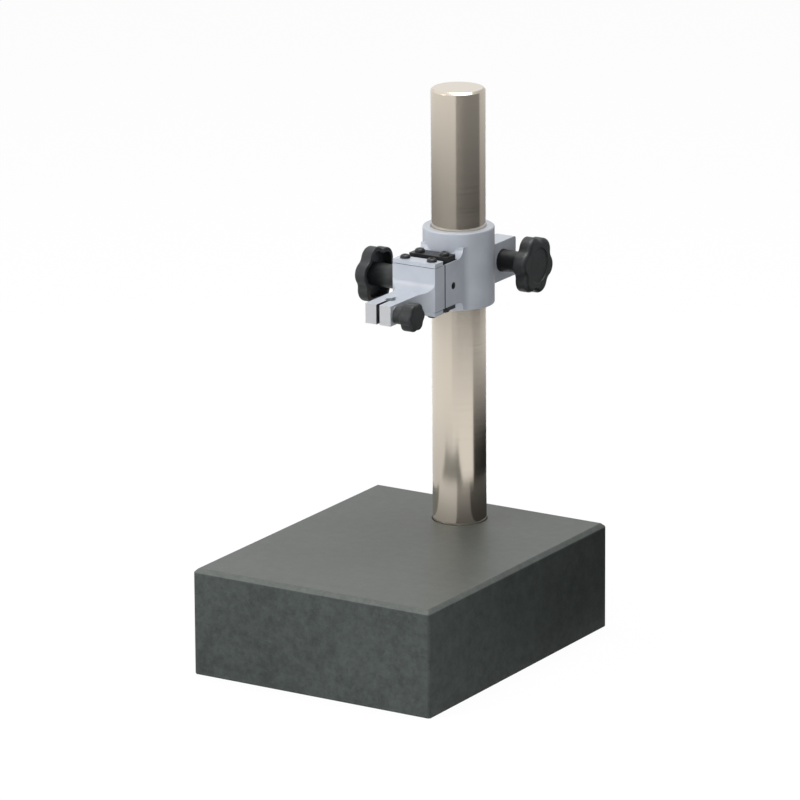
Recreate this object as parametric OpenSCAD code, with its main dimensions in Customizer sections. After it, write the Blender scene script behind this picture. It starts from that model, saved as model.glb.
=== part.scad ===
// Granite comparator stand with a column, a clamped bracket and a fine-adjusting arm.
// The arm hangs on two parallel leaf springs and an eccentric shaft lifts and lowers it.
// Frame: X to the right, Y to the back, Z up, with the origin in the middle of the underside.
// All sizes are in millimetres.

/* [Granite base] */
// Width of the granite, left to right
base_w = 200; // [160:1:300]
// Depth of the granite, front to back
base_d = 250; // [200:1:400]
// Height of the granite
base_h = 80; // [65:1:120]
// Chamfer along the top edges
top_edge = 3; // [1:0.5:6]
// Chamfer along the four upright edges
corner_edge = 1.5; // [0.5:0.5:4]
// Column axis to the rear face of the granite
column_inset = 44; // [40:1:80]

/* [Column] */
// Diameter of the column
column_d = 40; // [34:1:50]
// Height of the column above the granite
column_h = 326; // [250:1:450]
// Chamfer at the top of the column
column_edge = 1.7; // [0.5:0.1:3]
// Depth of the counterbore that the column stands in
seat_depth = 5; // [3:0.5:10]
// Gap round the column in its counterbore
seat_gap = 0.3; // [0.2:0.05:0.6]

/* [Foot screw under the column] */
// Thread diameter of the foot screw
foot_screw_d = 12; // [8:1:16]
// Length of foot screw held in the column
foot_screw_grip = 30; // [20:1:45]
// Depth of the recess in the underside for the screw head
foot_recess_depth = 25; // [18:1:35]
// Thickness of the foot washer
foot_washer_t = 2.5; // [2:0.5:5]
// Rim of the foot washer round the screw head
foot_washer_rim = 4; // [2:0.5:8]
// Gap round the foot washer in its recess
foot_recess_gap = 1.5; // [1:0.5:4]

/* [Bracket collar and lugs] */
// Height of the bracket's underside above the granite
bracket_height = 165; // [60:1:190]
// Height of the collar
collar_h = 58; // [52:1:70]
// Wall of the collar
collar_wall = 6.4; // [5:0.1:9]
// Rounding of the collar's rims
collar_edge = 1.2; // [0.6:0.1:2.5]
// Radial gap between collar and column
bore_gap = 0.05; // [0.03:0.01:0.08]
// Width of the slit that lets the collar close
slit_w = 3; // [2:0.5:5]
// Width across the two clamp lugs
lug_w = 34; // [30:1:44]
// Height of the clamp lugs
lug_h = 29.4; // [24:0.2:34]
// Reach of the lugs behind the collar
lug_reach = 26.6; // [20:0.1:30]
// Underside of the lugs above the collar's underside
lug_up = 11; // [6:1:18]
// Rounding of the lugs' rear corners
lug_edge = 2; // [1:0.5:5]

/* [Fixed block of the bracket] */
// Width of the fixed block and of the arm's block
block_w = 36; // [34:1:42]
// Height of the block between its two spring seats
block_h = 32.4; // [30:0.2:36]
// Lower spring seat above the collar's underside
block_up = 8.6; // [7:0.2:11]
// Reach of the fixed block in front of the collar
block_reach = 21.7; // [20:0.1:26]
// Fillet from the block's top and bottom to the collar
block_fillet = 7; // [3:0.5:8]
// Fillet from the block's sides to the collar
side_fillet = 8; // [4:0.5:12]
// Gap between the fixed block and the arm
seam_gap = 1; // [0.8:0.1:1.5]

/* [Leaf springs] */
// Thickness of a leaf spring
spring_t = 0.4; // [0.3:0.05:0.8]
// Step in from the block's side to the spring's edge
spring_inset = 1; // [0.5:0.25:3]
// Thickness of the clamp bars on the fixed block
bar_t = 3.5; // [3:0.1:5]
// Depth of the clamp bars, front to back
bar_d = 12.4; // [11:0.2:15]
// Step in from the block's side to the bar's end
bar_inset = 2; // [1:0.25:4]
// Free length of spring between the seam and the bar
bar_setback = 5; // [3:0.1:6]
// Thickness of the clamp plates on the arm
plate_t = 3; // [2:0.1:4]
// Step in from the arm's rear face to the clamp plates
plate_step = 2; // [0.5:0.1:2.4]
// Thread diameter of the spring screws
spring_screw_d = 4; // [3:0.5:4.5]
// Head diameter of the spring screws
spring_head_d = 7.6; // [6.5:0.1:9]
// Head height of the spring screws
spring_head_h = 2.6; // [1.8:0.1:3]
// Length of spring screw held in the casting
spring_screw_grip = 5.6; // [4:0.2:6.4]
// Distance between the two screws on each clamp plate
plate_screw_pitch = 22.6; // [21:0.2:25]
// Distance between the two screws on each clamp bar
bar_screw_pitch = 21; // [20.5:0.1:23]

/* [Arm] */
// Depth of the arm's block, front to back
arm_block_d = 13.4; // [12:0.2:18]
// Width of the arm's nose
nose_w = 21.2; // [18:0.2:26]
// Height of the arm's nose
nose_h = 14.8; // [13:0.2:17]
// Reach of the nose in front of the arm's block
nose_reach = 49.1; // [46:0.1:70]
// Length over which the block narrows to the nose
flare_l = 13.5; // [9:0.5:20]
// Fillet between the nose's top and the block's front
step_fillet = 6.6; // [3:0.2:9]
// Rounding of the nose's upright front edges
nose_edge = 1; // [0.5:0.25:2]

/* [Stem clamp] */
// Diameter of the bore for the indicator's stem
stem_d = 8; // [6:0.5:9]
// Stem axis to the nose's front end
stem_back = 17.6; // [16:0.1:22]
// Width of the slit in the nose
nose_slit = 2.6; // [2:0.1:3.5]
// Length of the slit behind the stem bore
nose_slit_relief = 3; // [1:0.5:6]
// Thread diameter of the stem clamp screw
stem_screw_d = 6; // [4:0.5:6.5]
// Stem clamp screw's axis to the nose's front end
stem_screw_back = 7.1; // [6:0.1:8]
// Thickness of the stem clamp washer
stem_washer_t = 1; // [0.8:0.1:1.6]

/* [Fine adjustment] */
// Throw of the eccentric, which is the arm's travel each way
throw = 1; // [0.6:0.1:1.2]
// Diameter of the eccentric
eccentric_d = 7.4; // [7:0.1:8]
// Step from the eccentric to the journals on both sides of it
journal_step = 0.2; // [0.1:0.05:0.4]
// Drive axis behind the fixed block's front face
drive_back = 11.1; // [10.5:0.1:12.5]
// Drive axis below the middle of the block
drive_drop = 1.8; // [0:0.1:2.2]
// Wall of the bush
bush_wall = 1.5; // [1:0.25:2]
// Radial running gap of the shaft
run_gap = 0.03; // [0.02:0.01:0.08]
// Width of the arm's tongue
tongue_w = 10; // [8:0.5:11]
// Height of the arm's tongue
tongue_h = 16; // [14.5:0.5:18]
// Metal behind the tongue's slot
tongue_end = 2.2; // [1.6:0.2:3]
// Gap beside and behind the tongue in its pocket
pocket_gap = 1.5; // [1:0.1:1.8]
// Gap above and below the tongue beyond its travel
pocket_headroom = 0.5; // [0.4:0.1:1]
// Gap round the eccentric in the tongue's slot
slot_gap = 0.35; // [0.3:0.05:0.5]
// Diameter of the shaft in the fine knob
shaft_end_d = 8; // [6:0.5:9]
// Thickness of the thrust washer
thrust_t = 1; // [0.8:0.1:2]
// Depth of the shaft's end below the block's right side
shaft_recess = 5; // [1:0.5:6]
// Diameter of the keeper screw
keeper_d = 3; // [2.5:0.25:3.5]
// Diameter of the grub screw in the fine knob
grub_d = 4; // [3:0.5:5]

/* [Star knobs] */
// Lobe centres to the knob's axis
lobe_reach = 12.6; // [11.4:0.1:14]
// Radius of a lobe
lobe_r = 9.4; // [8.8:0.1:10]
// Depth of the hollows between the lobes
lobe_hollow = 3; // [2.4:0.1:3.4]
// Thickness of the knob's head
star_t = 9.8; // [8:0.2:14]
// Rounding of the head's outer rim
star_rim = 3; // [1.5:0.25:4]
// Wall of the hollow head
star_wall = 3; // [2:0.25:4]
// Front wall of the hollow head
star_roof = 3.6; // [3:0.2:5]
// Diameter of the hubs
hub_d = 17.6; // [15:0.1:19]
// Length of the fine knob's hub
fine_hub_l = 25.4; // [20:0.2:34]
// Length of the column clamp knob's hub
clamp_hub_l = 6.6; // [6:0.2:16]

/* [Column clamp] */
// Thread diameter of the clamp screw
clamp_screw_d = 8; // [6:0.5:9]
// Clamp screw's axis to the lugs' rear face
clamp_screw_back = 19.5; // [14:0.1:20]
// Clamp screw's axis above the lugs' underside
clamp_screw_up = 15.2; // [12:0.1:18]
// Diameter of the spacer
spacer_d = 16.2; // [14:0.2:17]
// Length of the spacer
spacer_l = 14; // [8:0.2:18]
// Diameter of the clamp washer
clamp_washer_d = 17; // [14:0.1:20]
// Thickness of the clamp washer
clamp_washer_t = 1.2; // [0.8:0.1:2]

/* [Stem clamp knob] */
// Lobe centres to the small knob's axis
small_reach = 5.6; // [5.2:0.1:6.6]
// Radius of a lobe of the small knob
small_lobe_r = 5.1; // [4.9:0.05:5.5]
// Depth of the hollows of the small knob
small_hollow = 1.1; // [1:0.05:1.3]
// Thickness of the small knob's head
small_t = 10.4; // [7:0.2:12]
// Rounding of the small knob's rim
small_rim = 1.8; // [0.8:0.1:2.5]
// Diameter of the small knob's neck
neck_d = 13; // [10:0.2:14]
// Length of the small knob's neck
neck_l = 7.4; // [5:0.2:12]

/* [Fits and small details] */
// Radial gap of a screw in its thread
thread_gap = 0.05; // [0.03:0.01:0.1]
// Radial gap of a screw in a clearance hole
screw_gap = 0.3; // [0.2:0.05:0.5]
// Radial gap of a pressed or moulded-in piece
press_gap = 0.01; // [0.01:0.005:0.03]
// Chamfer at the mouth of the collar's bore
mouth_edge = 1; // [0.5:0.1:1.5]
// Small chamfer on turned and milled pieces
small_edge = 0.5; // [0.2:0.1:0.8]

/* [Hidden] */
$fn = 96;

// Overshoot of cutting shapes past the faces that they cut
cut = 1;

// Number of lobes on every knob, the flats that each lobe and hollow is drawn with,
// and the angle that each knob rests at
lobes = 6;
lobe_steps = 8;
hollow_steps = 2;
fine_turn = -17;
clamp_turn = 17;
small_turn = 31;

// Column and its foot screw
column_y = base_d / 2 - column_inset;
column_top = base_h + column_h;
seat_z = base_h - seat_depth;
foot_head_d = 1.5 * foot_screw_d;
foot_washer_d = foot_head_d + 2 * foot_washer_rim;

// Collar and lugs
collar_r = column_d / 2 + collar_wall;
collar_z = base_h + bracket_height;
collar_top = collar_z + collar_h;
lug_z = collar_z + lug_up;
lug_y = column_y + collar_r + lug_reach;
clamp_y = lug_y - clamp_screw_back;
clamp_z = lug_z + clamp_screw_up;

// Fixed block and its seam with the arm
seat_low = collar_z + block_up;
seat_high = seat_low + block_h;
seam_y = column_y - collar_r - block_reach;
fillet_y = seam_y + bar_setback + bar_d + small_edge;
fillet_top = min(block_fillet, collar_top - collar_edge - seat_high);
fillet_bottom = min(block_fillet, seat_low - collar_z - collar_edge);

// Arm and stem clamp
arm_back = seam_y - seam_gap;
arm_front = arm_back - arm_block_d;
plate_back = arm_back - plate_step;
nose_end = arm_front - nose_reach;
nose_top = seat_low + nose_h;
flare_w = (block_w - nose_w) / 2;
flare_r = (flare_w * flare_w + flare_l * flare_l) / (2 * flare_w);
stem_y = nose_end + stem_back;
stem_screw_y = nose_end + stem_screw_back;
stem_screw_z = seat_low + nose_h / 2;
stem_washer_d = min(nose_h - 2 * small_edge, neck_d);

// Leaf springs and what clamps them
spring_w = block_w - 2 * spring_inset;
bar_w = block_w - 2 * bar_inset;
bar_y = seam_y + bar_setback;
bar_back = bar_y + bar_d;
spring_front = arm_front + small_edge;
bar_screws = [for (side = [-1, 1]) [side * bar_screw_pitch / 2, bar_y + bar_d / 2]];
plate_screws = [for (side = [-1, 1]) [side * plate_screw_pitch / 2, (arm_front + arm_back) / 2]];

// Eccentric drive, on an axis along X
drive_y = seam_y + drive_back;
drive_z = (seat_low + seat_high) / 2 - drive_drop;
journal_d = eccentric_d + 2 * (throw + journal_step);
end_journal_d = eccentric_d - 2 * (throw + journal_step);
bush_d = journal_d + 2 * bush_wall;
pocket_w = tongue_w + 2 * pocket_gap;
pocket_h = tongue_h + 2 * (throw + pocket_headroom);
slot_r = eccentric_d / 2 + slot_gap;
tongue_back = drive_y + throw + slot_gap + slot_r + tongue_end;
pocket_back = tongue_back + pocket_gap;
hub_face = -block_w / 2 - thrust_t;
shaft_in_knob = fine_hub_l - small_edge;
grub_x = hub_face - 5;
keeper_x = (pocket_w + block_w) / 4 - shaft_recess / 2;
keeper_groove_w = keeper_d + 2 * screw_gap;
keeper_groove_d = end_journal_d - 1.4;

// Clamp screws, on axes along X
clamp_face = lug_w / 2 + clamp_washer_t + spacer_l;
stem_face = nose_w / 2 + stem_washer_t;
clamp_screw_held = clamp_hub_l + 2;
stem_screw_held = neck_l + 3;
screw_end = 1.5;

paint = "#9AA5AD";
bare_steel = "#B9BBBD";
black_plastic = "#2C3033";
black_steel = "#1E2022";

// Turns a shape's Z axis to +X or, with side = -1, to -X
module along_x(side = 1) {
    rotate([0, side * 90, 0]) children();
}

// Round bar along X from x0 to x1
module x_bar(x0, x1, d) {
    translate([x0, 0, 0]) along_x() cylinder(d = d, h = x1 - x0);
}

// Round bar along Z with a chamfer at each end
module turned_bar(d, h, edge) {
    r = d / 2;
    rotate_extrude() polygon([
        [0, 0], [r - edge, 0], [r, edge], [r, h - edge], [r - edge, h], [0, h]
    ]);
}

module washer(outer_d, inner_d, t) {
    difference() {
        cylinder(d = outer_d, h = t);
        translate([0, 0, -cut]) cylinder(d = inner_d, h = t + 2 * cut);
    }
}

// Rectangle with round corners, centred
module round_rect(w, d, r) {
    square([w - 2 * r, d], center = true);
    square([w, d - 2 * r], center = true);
    for (sx = [-1, 1], sy = [-1, 1]) {
        translate([sx * (w / 2 - r), sy * (d / 2 - r)]) circle(r);
    }
}

// Corner of metal left between two faces at a right angle, round a fillet of radius r
module inner_corner(r) {
    difference() {
        translate([-r, 0]) square(r);
        translate([-r, r]) circle(r);
    }
}

// Button-head screw that points down, with its head resting on Z = 0
module button_screw(d, grip, head_d, head_h) {
    dome_r = (head_d * head_d / 4 + head_h * head_h) / (2 * head_h) * 1.1;
    socket = 0.62 * d;
    difference() {
        intersection() {
            cylinder(d = head_d, h = head_h);
            translate([0, 0, head_h - dome_r]) sphere(dome_r);
        }
        translate([0, 0, head_h - 0.55 * head_h]) cylinder(d = socket / cos(30), h = head_h, $fn = 6);
    }
    translate([0, 0, -grip]) cylinder(d = d, h = grip + head_h / 4);
}

// Headless screw along Z from 0 to h, with a hex socket at Z = 0
module grub_screw(d, h) {
    difference() {
        turned_bar(d, h, small_edge / 2);
        translate([0, 0, -cut]) cylinder(d = 0.5 * d / cos(30), h = 0.4 * h + cut, $fn = 6);
    }
}

// Points on an arc round centre c, from angle a0 to a1 in n steps
function arc_points(c, r, a0, a1, n) = [
    for (i = [0 : n]) let (a = a0 + (a1 - a0) * i / n) c + r * [cos(a), sin(a)]
];

// Outline of a star knob: round lobes joined by tangent hollows, all stepped in by inset
module star_outline(reach, lobe, hollow, inset = 0) {
    half = 180 / lobes;
    chord = reach * sin(half);
    drop = reach + lobe - hollow - reach * cos(half);
    hollow_r = (drop * drop + chord * chord - lobe * lobe) / (2 * (lobe - drop));
    hollow_reach = reach + lobe - hollow + hollow_r;
    spread = atan2(hollow_reach * sin(half), hollow_reach * cos(half) - reach);
    polygon([
        for (i = [0 : lobes - 1]) let (turn = 2 * half * i) each concat(
            arc_points(
                reach * [cos(turn), sin(turn)], lobe - inset,
                turn - spread, turn + spread, lobe_steps
            ),
            arc_points(
                hollow_reach * [cos(turn + half), sin(turn + half)], hollow_r + inset,
                turn + spread + 180 - hollow_inset(spread, half),
                turn + 2 * half + 180 - spread + hollow_inset(spread, half), hollow_steps
            )
        )
    ]);
}

// First step of a hollow's arc, which starts where the lobe's arc ends
function hollow_inset(spread, half) = 2 * (spread - half) / (hollow_steps + 2);

// Head of a star knob, from Z = 0 to t, with its rims bevelled in two steps
module star_head(reach, lobe, hollow, t, rim) {
    r = reach + lobe;
    intersection() {
        linear_extrude(t) star_outline(reach, lobe, hollow);
        rotate_extrude() polygon([
            [0, 0], [r - rim / 2, 0], [r, rim / 2], [r, t - rim],
            [r - 0.3 * rim, t - 0.3 * rim], [r - rim, t], [0, t]
        ]);
    }
}

// Star knob with a hollow head, its hub standing on Z = 0
module star_knob(hub_l, bore_d, bore_l) {
    difference() {
        union() {
            cylinder(d = hub_d, h = hub_l + star_t / 2);
            translate([0, 0, hub_l]) star_head(lobe_reach, lobe_r, lobe_hollow, star_t, star_rim);
        }
        translate([0, 0, hub_l - cut]) linear_extrude(star_t - star_roof + cut) difference() {
            star_outline(lobe_reach, lobe_r, lobe_hollow, star_wall);
            circle(d = hub_d);
        }
        translate([0, 0, -cut]) cylinder(d = bore_d, h = bore_l + cut);
    }
}

module granite_block() {
    intersection() {
        linear_extrude(base_h) chamfered_rect(base_w, base_d, corner_edge);
        rotate([90, 0, 0]) linear_extrude(base_d, center = true) top_chamfered(base_w);
        rotate([90, 0, 90]) linear_extrude(base_w, center = true) top_chamfered(base_d);
    }
}

module chamfered_rect(w, d, edge) {
    x = w / 2;
    y = d / 2;
    polygon([
        [-x + edge, -y], [x - edge, -y], [x, -y + edge], [x, y - edge],
        [x - edge, y], [-x + edge, y], [-x, y - edge], [-x, -y + edge]
    ]);
}

module top_chamfered(w) {
    x = w / 2;
    polygon([
        [-x, 0], [x, 0], [x, base_h - top_edge], [x - top_edge, base_h],
        [-x + top_edge, base_h], [-x, base_h - top_edge]
    ]);
}

module granite_base() {
    color("#5B615B") difference() {
        granite_block();
        translate([0, column_y, 0]) {
            translate([0, 0, seat_z]) cylinder(d = column_d + 2 * seat_gap, h = seat_depth + cut);
            translate([0, 0, -cut]) {
                cylinder(d = foot_screw_d + 2 * screw_gap, h = base_h);
                cylinder(d = foot_washer_d + 2 * foot_recess_gap, h = foot_recess_depth + cut);
            }
        }
    }
}

module column_foot_washer() {
    color(bare_steel) translate([0, column_y, foot_recess_depth - foot_washer_t]) {
        washer(foot_washer_d, foot_screw_d + 2 * screw_gap, foot_washer_t);
    }
}

module column_foot_screw() {
    head_z = foot_recess_depth - foot_washer_t;
    color(black_steel) translate([0, column_y, 0]) {
        difference() {
            translate([0, 0, head_z - foot_screw_d]) turned_bar(foot_head_d, foot_screw_d, small_edge);
            translate([0, 0, head_z - foot_screw_d - cut]) {
                cylinder(d = 0.83 * foot_screw_d / cos(30), h = foot_screw_d / 2 + cut, $fn = 6);
            }
        }
        translate([0, 0, head_z - small_edge]) {
            cylinder(d = foot_screw_d, h = seat_z + foot_screw_grip - head_z + small_edge);
        }
    }
}

module column() {
    r = column_d / 2;
    h = column_top - seat_z;
    color("#C9BBA4") translate([0, column_y, seat_z]) difference() {
        rotate_extrude() polygon([
            [0, 0], [r - small_edge, 0], [r, small_edge],
            [r, h - column_edge], [r - column_edge, h], [0, h]
        ]);
        translate([0, 0, -cut]) {
            cylinder(d = foot_screw_d + 2 * thread_gap, h = foot_screw_grip + 4 + cut);
        }
    }
}

// Outside of the collar, with both rims rounded
module collar() {
    translate([0, column_y, collar_z]) rotate_extrude() {
        square([collar_r - collar_edge, collar_h]);
        translate([0, collar_edge]) square([collar_r, collar_h - 2 * collar_edge]);
        for (z = [collar_edge, collar_h - collar_edge]) {
            translate([collar_r - collar_edge, z]) circle(collar_edge);
        }
    }
}

module lugs() {
    depth = lug_y - column_y;
    translate([0, column_y + depth / 2, lug_z + lug_h / 2]) rotate([90, 0, 90]) {
        linear_extrude(lug_w, center = true) round_rect(depth, lug_h, lug_edge);
    }
}

// Side view of the fixed block: Y across and Z up
module block_side() {
    translate([seam_y, seat_low]) square([column_y - seam_y, block_h]);
    translate([fillet_y + fillet_top, seat_high]) {
        inner_corner(fillet_top);
        square([column_y - fillet_y - fillet_top, fillet_top]);
    }
    translate([fillet_y + fillet_bottom, seat_low]) mirror([0, 1]) {
        inner_corner(fillet_bottom);
        square([column_y - fillet_y - fillet_bottom, fillet_bottom]);
    }
}

// Plan of the fixed block, with fillets that run into the collar's wall
module block_plan() {
    half = block_w / 2;
    x = half + side_fillet;
    y = column_y - sqrt(pow(collar_r + side_fillet, 2) - x * x);
    translate([-half, seam_y]) square([block_w, column_y - seam_y]);
    for (side = [0, 1]) {
        mirror([side, 0]) difference() {
            polygon([[0, y], [x, y], [0, column_y]]);
            translate([x, y]) circle(side_fillet);
        }
    }
}

module fixed_block() {
    intersection() {
        rotate([90, 0, 90]) linear_extrude(2 * collar_r, center = true) block_side();
        translate([0, 0, collar_z]) linear_extrude(collar_h) block_plan();
    }
}

module column_bore() {
    r = column_d / 2 + bore_gap;
    translate([0, column_y, collar_z]) rotate_extrude() polygon([
        [0, -cut], [r + mouth_edge + cut, -cut], [r, mouth_edge],
        [r, collar_h - mouth_edge], [r + mouth_edge + cut, collar_h + cut], [0, collar_h + cut]
    ]);
}

// Slit through the collar's rear wall and between the lugs
module collar_slit() {
    translate([-slit_w / 2, column_y, collar_z - cut]) {
        cube([slit_w, lug_y - column_y + cut, collar_h + 2 * cut]);
    }
}

// Clearance hole in the right lug and thread in the left lug
module clamp_screw_holes() {
    translate([0, clamp_y, clamp_z]) {
        x_bar(0, lug_w / 2 + cut, clamp_screw_d + 2 * screw_gap);
        x_bar(-lug_w / 2 - cut, 0, clamp_screw_d + 2 * thread_gap);
    }
}

// Pocket for the arm's tongue, with the shaft's bores on both sides of it
module drive_cavity() {
    translate([-pocket_w / 2, seam_y - cut, drive_z - pocket_h / 2]) {
        cube([pocket_w, pocket_back - seam_y + cut, pocket_h]);
    }
    translate([0, drive_y, drive_z]) {
        x_bar(-block_w / 2 - cut, 0, bush_d + 2 * press_gap);
        x_bar(0, block_w / 2 + cut, end_journal_d + 2 * run_gap);
    }
    translate([keeper_x, seam_y - cut, drive_z]) rotate([-90, 0, 0]) {
        cylinder(d = keeper_d + 2 * thread_gap, h = drive_back + cut);
    }
}

// Threads for spring screws, cut into both spring seats
module spring_screw_threads(places) {
    depth = spring_screw_grip + 2 * small_edge;
    for (at = places) {
        for (z = [seat_low - cut, seat_high - depth]) {
            translate([at.x, at.y, z]) cylinder(d = spring_screw_d + 2 * thread_gap, h = depth + cut);
        }
    }
}

module bracket_body() {
    color(paint) difference() {
        union() {
            collar();
            lugs();
            fixed_block();
        }
        column_bore();
        collar_slit();
        clamp_screw_holes();
        drive_cavity();
        spring_screw_threads(bar_screws);
    }
}

module eccentric_bush() {
    length = (block_w - pocket_w) / 2;
    color("#B08D57") translate([-block_w / 2, drive_y, drive_z]) along_x() {
        washer(bush_d, journal_d + 2 * run_gap, length);
    }
}

// Screw from the seam into the shaft's groove, which keeps the shaft from sliding out
module eccentric_keeper_screw() {
    length = drive_back - keeper_groove_d / 2 - screw_gap - small_edge;
    color(black_steel) translate([keeper_x, seam_y + small_edge, drive_z]) rotate([-90, 0, 0]) {
        grub_screw(keeper_d, length);
    }
}

// Leaf spring lying on Z = 0, with holes for all four screws
module leaf_spring() {
    color("#8E9296") difference() {
        translate([-spring_w / 2, spring_front, 0]) {
            cube([spring_w, bar_back - spring_front, spring_t]);
        }
        for (at = concat(bar_screws, plate_screws)) {
            translate([at.x, at.y, -cut]) {
                cylinder(d = spring_screw_d + 2 * screw_gap, h = spring_t + 2 * cut);
            }
        }
    }
}

module upper_leaf_spring() {
    translate([0, 0, seat_high]) leaf_spring();
}

module lower_leaf_spring() {
    translate([0, 0, seat_low - spring_t]) leaf_spring();
}

// Flat strip with two screw holes, standing on Z = 0
module screwed_strip(w, y0, y1, t, places) {
    difference() {
        translate([0, (y0 + y1) / 2, 0]) linear_extrude(t) round_rect(w, y1 - y0, small_edge);
        for (at = places) {
            translate([at.x, at.y, -cut]) {
                cylinder(d = spring_screw_d + 2 * screw_gap, h = t + 2 * cut);
            }
        }
    }
}

module upper_spring_bar() {
    color(black_steel) translate([0, 0, seat_high + spring_t]) {
        screwed_strip(bar_w, bar_y, bar_back, bar_t, bar_screws);
    }
}

module lower_spring_bar() {
    color(black_steel) translate([0, 0, seat_low - spring_t - bar_t]) {
        screwed_strip(bar_w, bar_y, bar_back, bar_t, bar_screws);
    }
}

module upper_spring_plate() {
    color(paint) translate([0, 0, seat_high + spring_t]) {
        screwed_strip(block_w, arm_front, plate_back, plate_t, plate_screws);
    }
}

module lower_spring_plate() {
    color(paint) translate([0, 0, seat_low - spring_t - plate_t]) {
        screwed_strip(block_w, arm_front, plate_back, plate_t, plate_screws);
    }
}

// Screws through strips of thickness t, above and below
module spring_screws(places, t) {
    stack = spring_t + t;
    color(black_steel) for (at = places) {
        translate([at.x, at.y, seat_high + stack]) {
            button_screw(spring_screw_d, stack + spring_screw_grip, spring_head_d, spring_head_h);
        }
        translate([at.x, at.y, seat_low - stack]) mirror([0, 0, 1]) {
            button_screw(spring_screw_d, stack + spring_screw_grip, spring_head_d, spring_head_h);
        }
    }
}

module bracket_spring_screws() {
    spring_screws(bar_screws, bar_t);
}

module arm_spring_screws() {
    spring_screws(plate_screws, plate_t);
}

// Side view of the arm: Y across and Z up
module arm_side() {
    translate([arm_front, seat_low]) square([arm_block_d, block_h]);
    translate([nose_end, seat_low]) square([nose_reach + cut, nose_h]);
    translate([arm_front, nose_top]) inner_corner(step_fillet);
}

// Plan of the arm: a square block that narrows in hollow curves to the nose
module arm_plan() {
    half = nose_w / 2;
    translate([-block_w / 2, arm_front]) square([block_w, arm_block_d]);
    translate([0, (nose_end + arm_front) / 2]) {
        round_rect(nose_w, nose_reach + 2 * nose_edge, nose_edge);
    }
    for (side = [0, 1]) {
        mirror([side, 0]) difference() {
            translate([0, arm_front - flare_l]) square([block_w / 2, flare_l + cut]);
            translate([half + flare_r, arm_front - flare_l]) circle(flare_r);
        }
    }
}

module arm_tongue() {
    translate([-tongue_w / 2, arm_back - cut, drive_z - tongue_h / 2]) {
        cube([tongue_w, tongue_back - arm_back + cut, tongue_h]);
    }
}

// Slot for the eccentric, long enough for its sideways swing
module tongue_slot() {
    swing = throw + 2 * slot_gap;
    translate([-tongue_w / 2 - cut, drive_y - slot_gap, drive_z]) {
        for (y = [0, swing]) {
            translate([0, y, 0]) x_bar(0, tongue_w + 2 * cut, 2 * slot_r);
        }
        translate([0, 0, -slot_r]) cube([tongue_w + 2 * cut, swing, 2 * slot_r]);
    }
}

// Stem bore, the slit through it and the holes of its clamp screw
module stem_clamp_cuts() {
    translate([0, stem_y, seat_low - cut]) cylinder(d = stem_d, h = nose_h + 2 * cut);
    translate([-nose_slit / 2, nose_end - 2 * cut, seat_low - cut]) {
        cube([nose_slit, stem_back + stem_d / 2 + nose_slit_relief + 2 * cut, nose_h + 2 * cut]);
    }
    translate([0, stem_screw_y, stem_screw_z]) {
        x_bar(0, nose_w / 2 + cut, stem_screw_d + 2 * screw_gap);
        x_bar(-nose_w / 2 - cut, 0, stem_screw_d + 2 * thread_gap);
    }
}

module arm_body() {
    color(paint) difference() {
        union() {
            intersection() {
                rotate([90, 0, 90]) linear_extrude(block_w, center = true) arm_side();
                translate([0, 0, seat_low]) linear_extrude(block_h) arm_plan();
            }
            arm_tongue();
        }
        tongue_slot();
        stem_clamp_cuts();
        spring_screw_threads(plate_screws);
    }
}

module stem_washer() {
    color(bare_steel) translate([nose_w / 2, stem_screw_y, stem_screw_z]) along_x() {
        washer(stem_washer_d, stem_screw_d + 2 * screw_gap, stem_washer_t);
    }
}

module fine_knob() {
    color(black_plastic) difference() {
        translate([hub_face, drive_y, drive_z]) along_x(-1) rotate(fine_turn) {
            star_knob(fine_hub_l, shaft_end_d + 2 * press_gap, shaft_in_knob + small_edge);
        }
        translate([grub_x, drive_y, drive_z - hub_d / 2 - cut]) {
            cylinder(d = grub_d + 2 * thread_gap, h = hub_d / 2 + cut);
        }
    }
}

// Shaft with a journal, an eccentric and a thin end journal with the keeper's groove
module eccentric_shaft() {
    end_x = block_w / 2 - shaft_recess;
    eccentric_end = pocket_w / 2 - small_edge;
    color(bare_steel) translate([0, drive_y, drive_z]) difference() {
        union() {
            x_bar(hub_face - shaft_in_knob, hub_face, shaft_end_d);
            x_bar(hub_face, -pocket_w / 2, journal_d);
            translate([0, throw, 0]) x_bar(-pocket_w / 2, eccentric_end, eccentric_d);
            x_bar(eccentric_end, end_x, end_journal_d);
        }
        translate([keeper_x - keeper_groove_w / 2, 0, 0]) along_x() {
            washer(end_journal_d + cut, keeper_groove_d, keeper_groove_w);
        }
    }
}

module fine_knob_grub_screw() {
    outer_z = drive_z - hub_d / 2 + small_edge;
    inner_z = drive_z - shaft_end_d / 2 - thread_gap;
    color(black_steel) translate([grub_x, drive_y, outer_z]) grub_screw(grub_d, inner_z - outer_z);
}

module thrust_washer() {
    color(bare_steel) translate([hub_face, drive_y, drive_z]) along_x() {
        washer(hub_d, journal_d + 2 * screw_gap, thrust_t);
    }
}

module clamp_washer() {
    color(black_steel) translate([lug_w / 2, clamp_y, clamp_z]) along_x() {
        washer(clamp_washer_d, clamp_screw_d + 2 * screw_gap, clamp_washer_t);
    }
}

module clamp_spacer() {
    color(black_steel) translate([lug_w / 2 + clamp_washer_t, clamp_y, clamp_z]) along_x() {
        washer(spacer_d, clamp_screw_d + 2 * screw_gap, spacer_l);
    }
}

module clamp_knob() {
    color(black_plastic) translate([clamp_face, clamp_y, clamp_z]) along_x() rotate(clamp_turn) {
        star_knob(clamp_hub_l, clamp_screw_d + 2 * press_gap, clamp_screw_held);
    }
}

module clamp_screw() {
    end_x = screw_end - lug_w / 2;
    color(bare_steel) translate([end_x, clamp_y, clamp_z]) along_x() {
        turned_bar(clamp_screw_d, clamp_face + clamp_screw_held - end_x, small_edge);
    }
}

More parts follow.
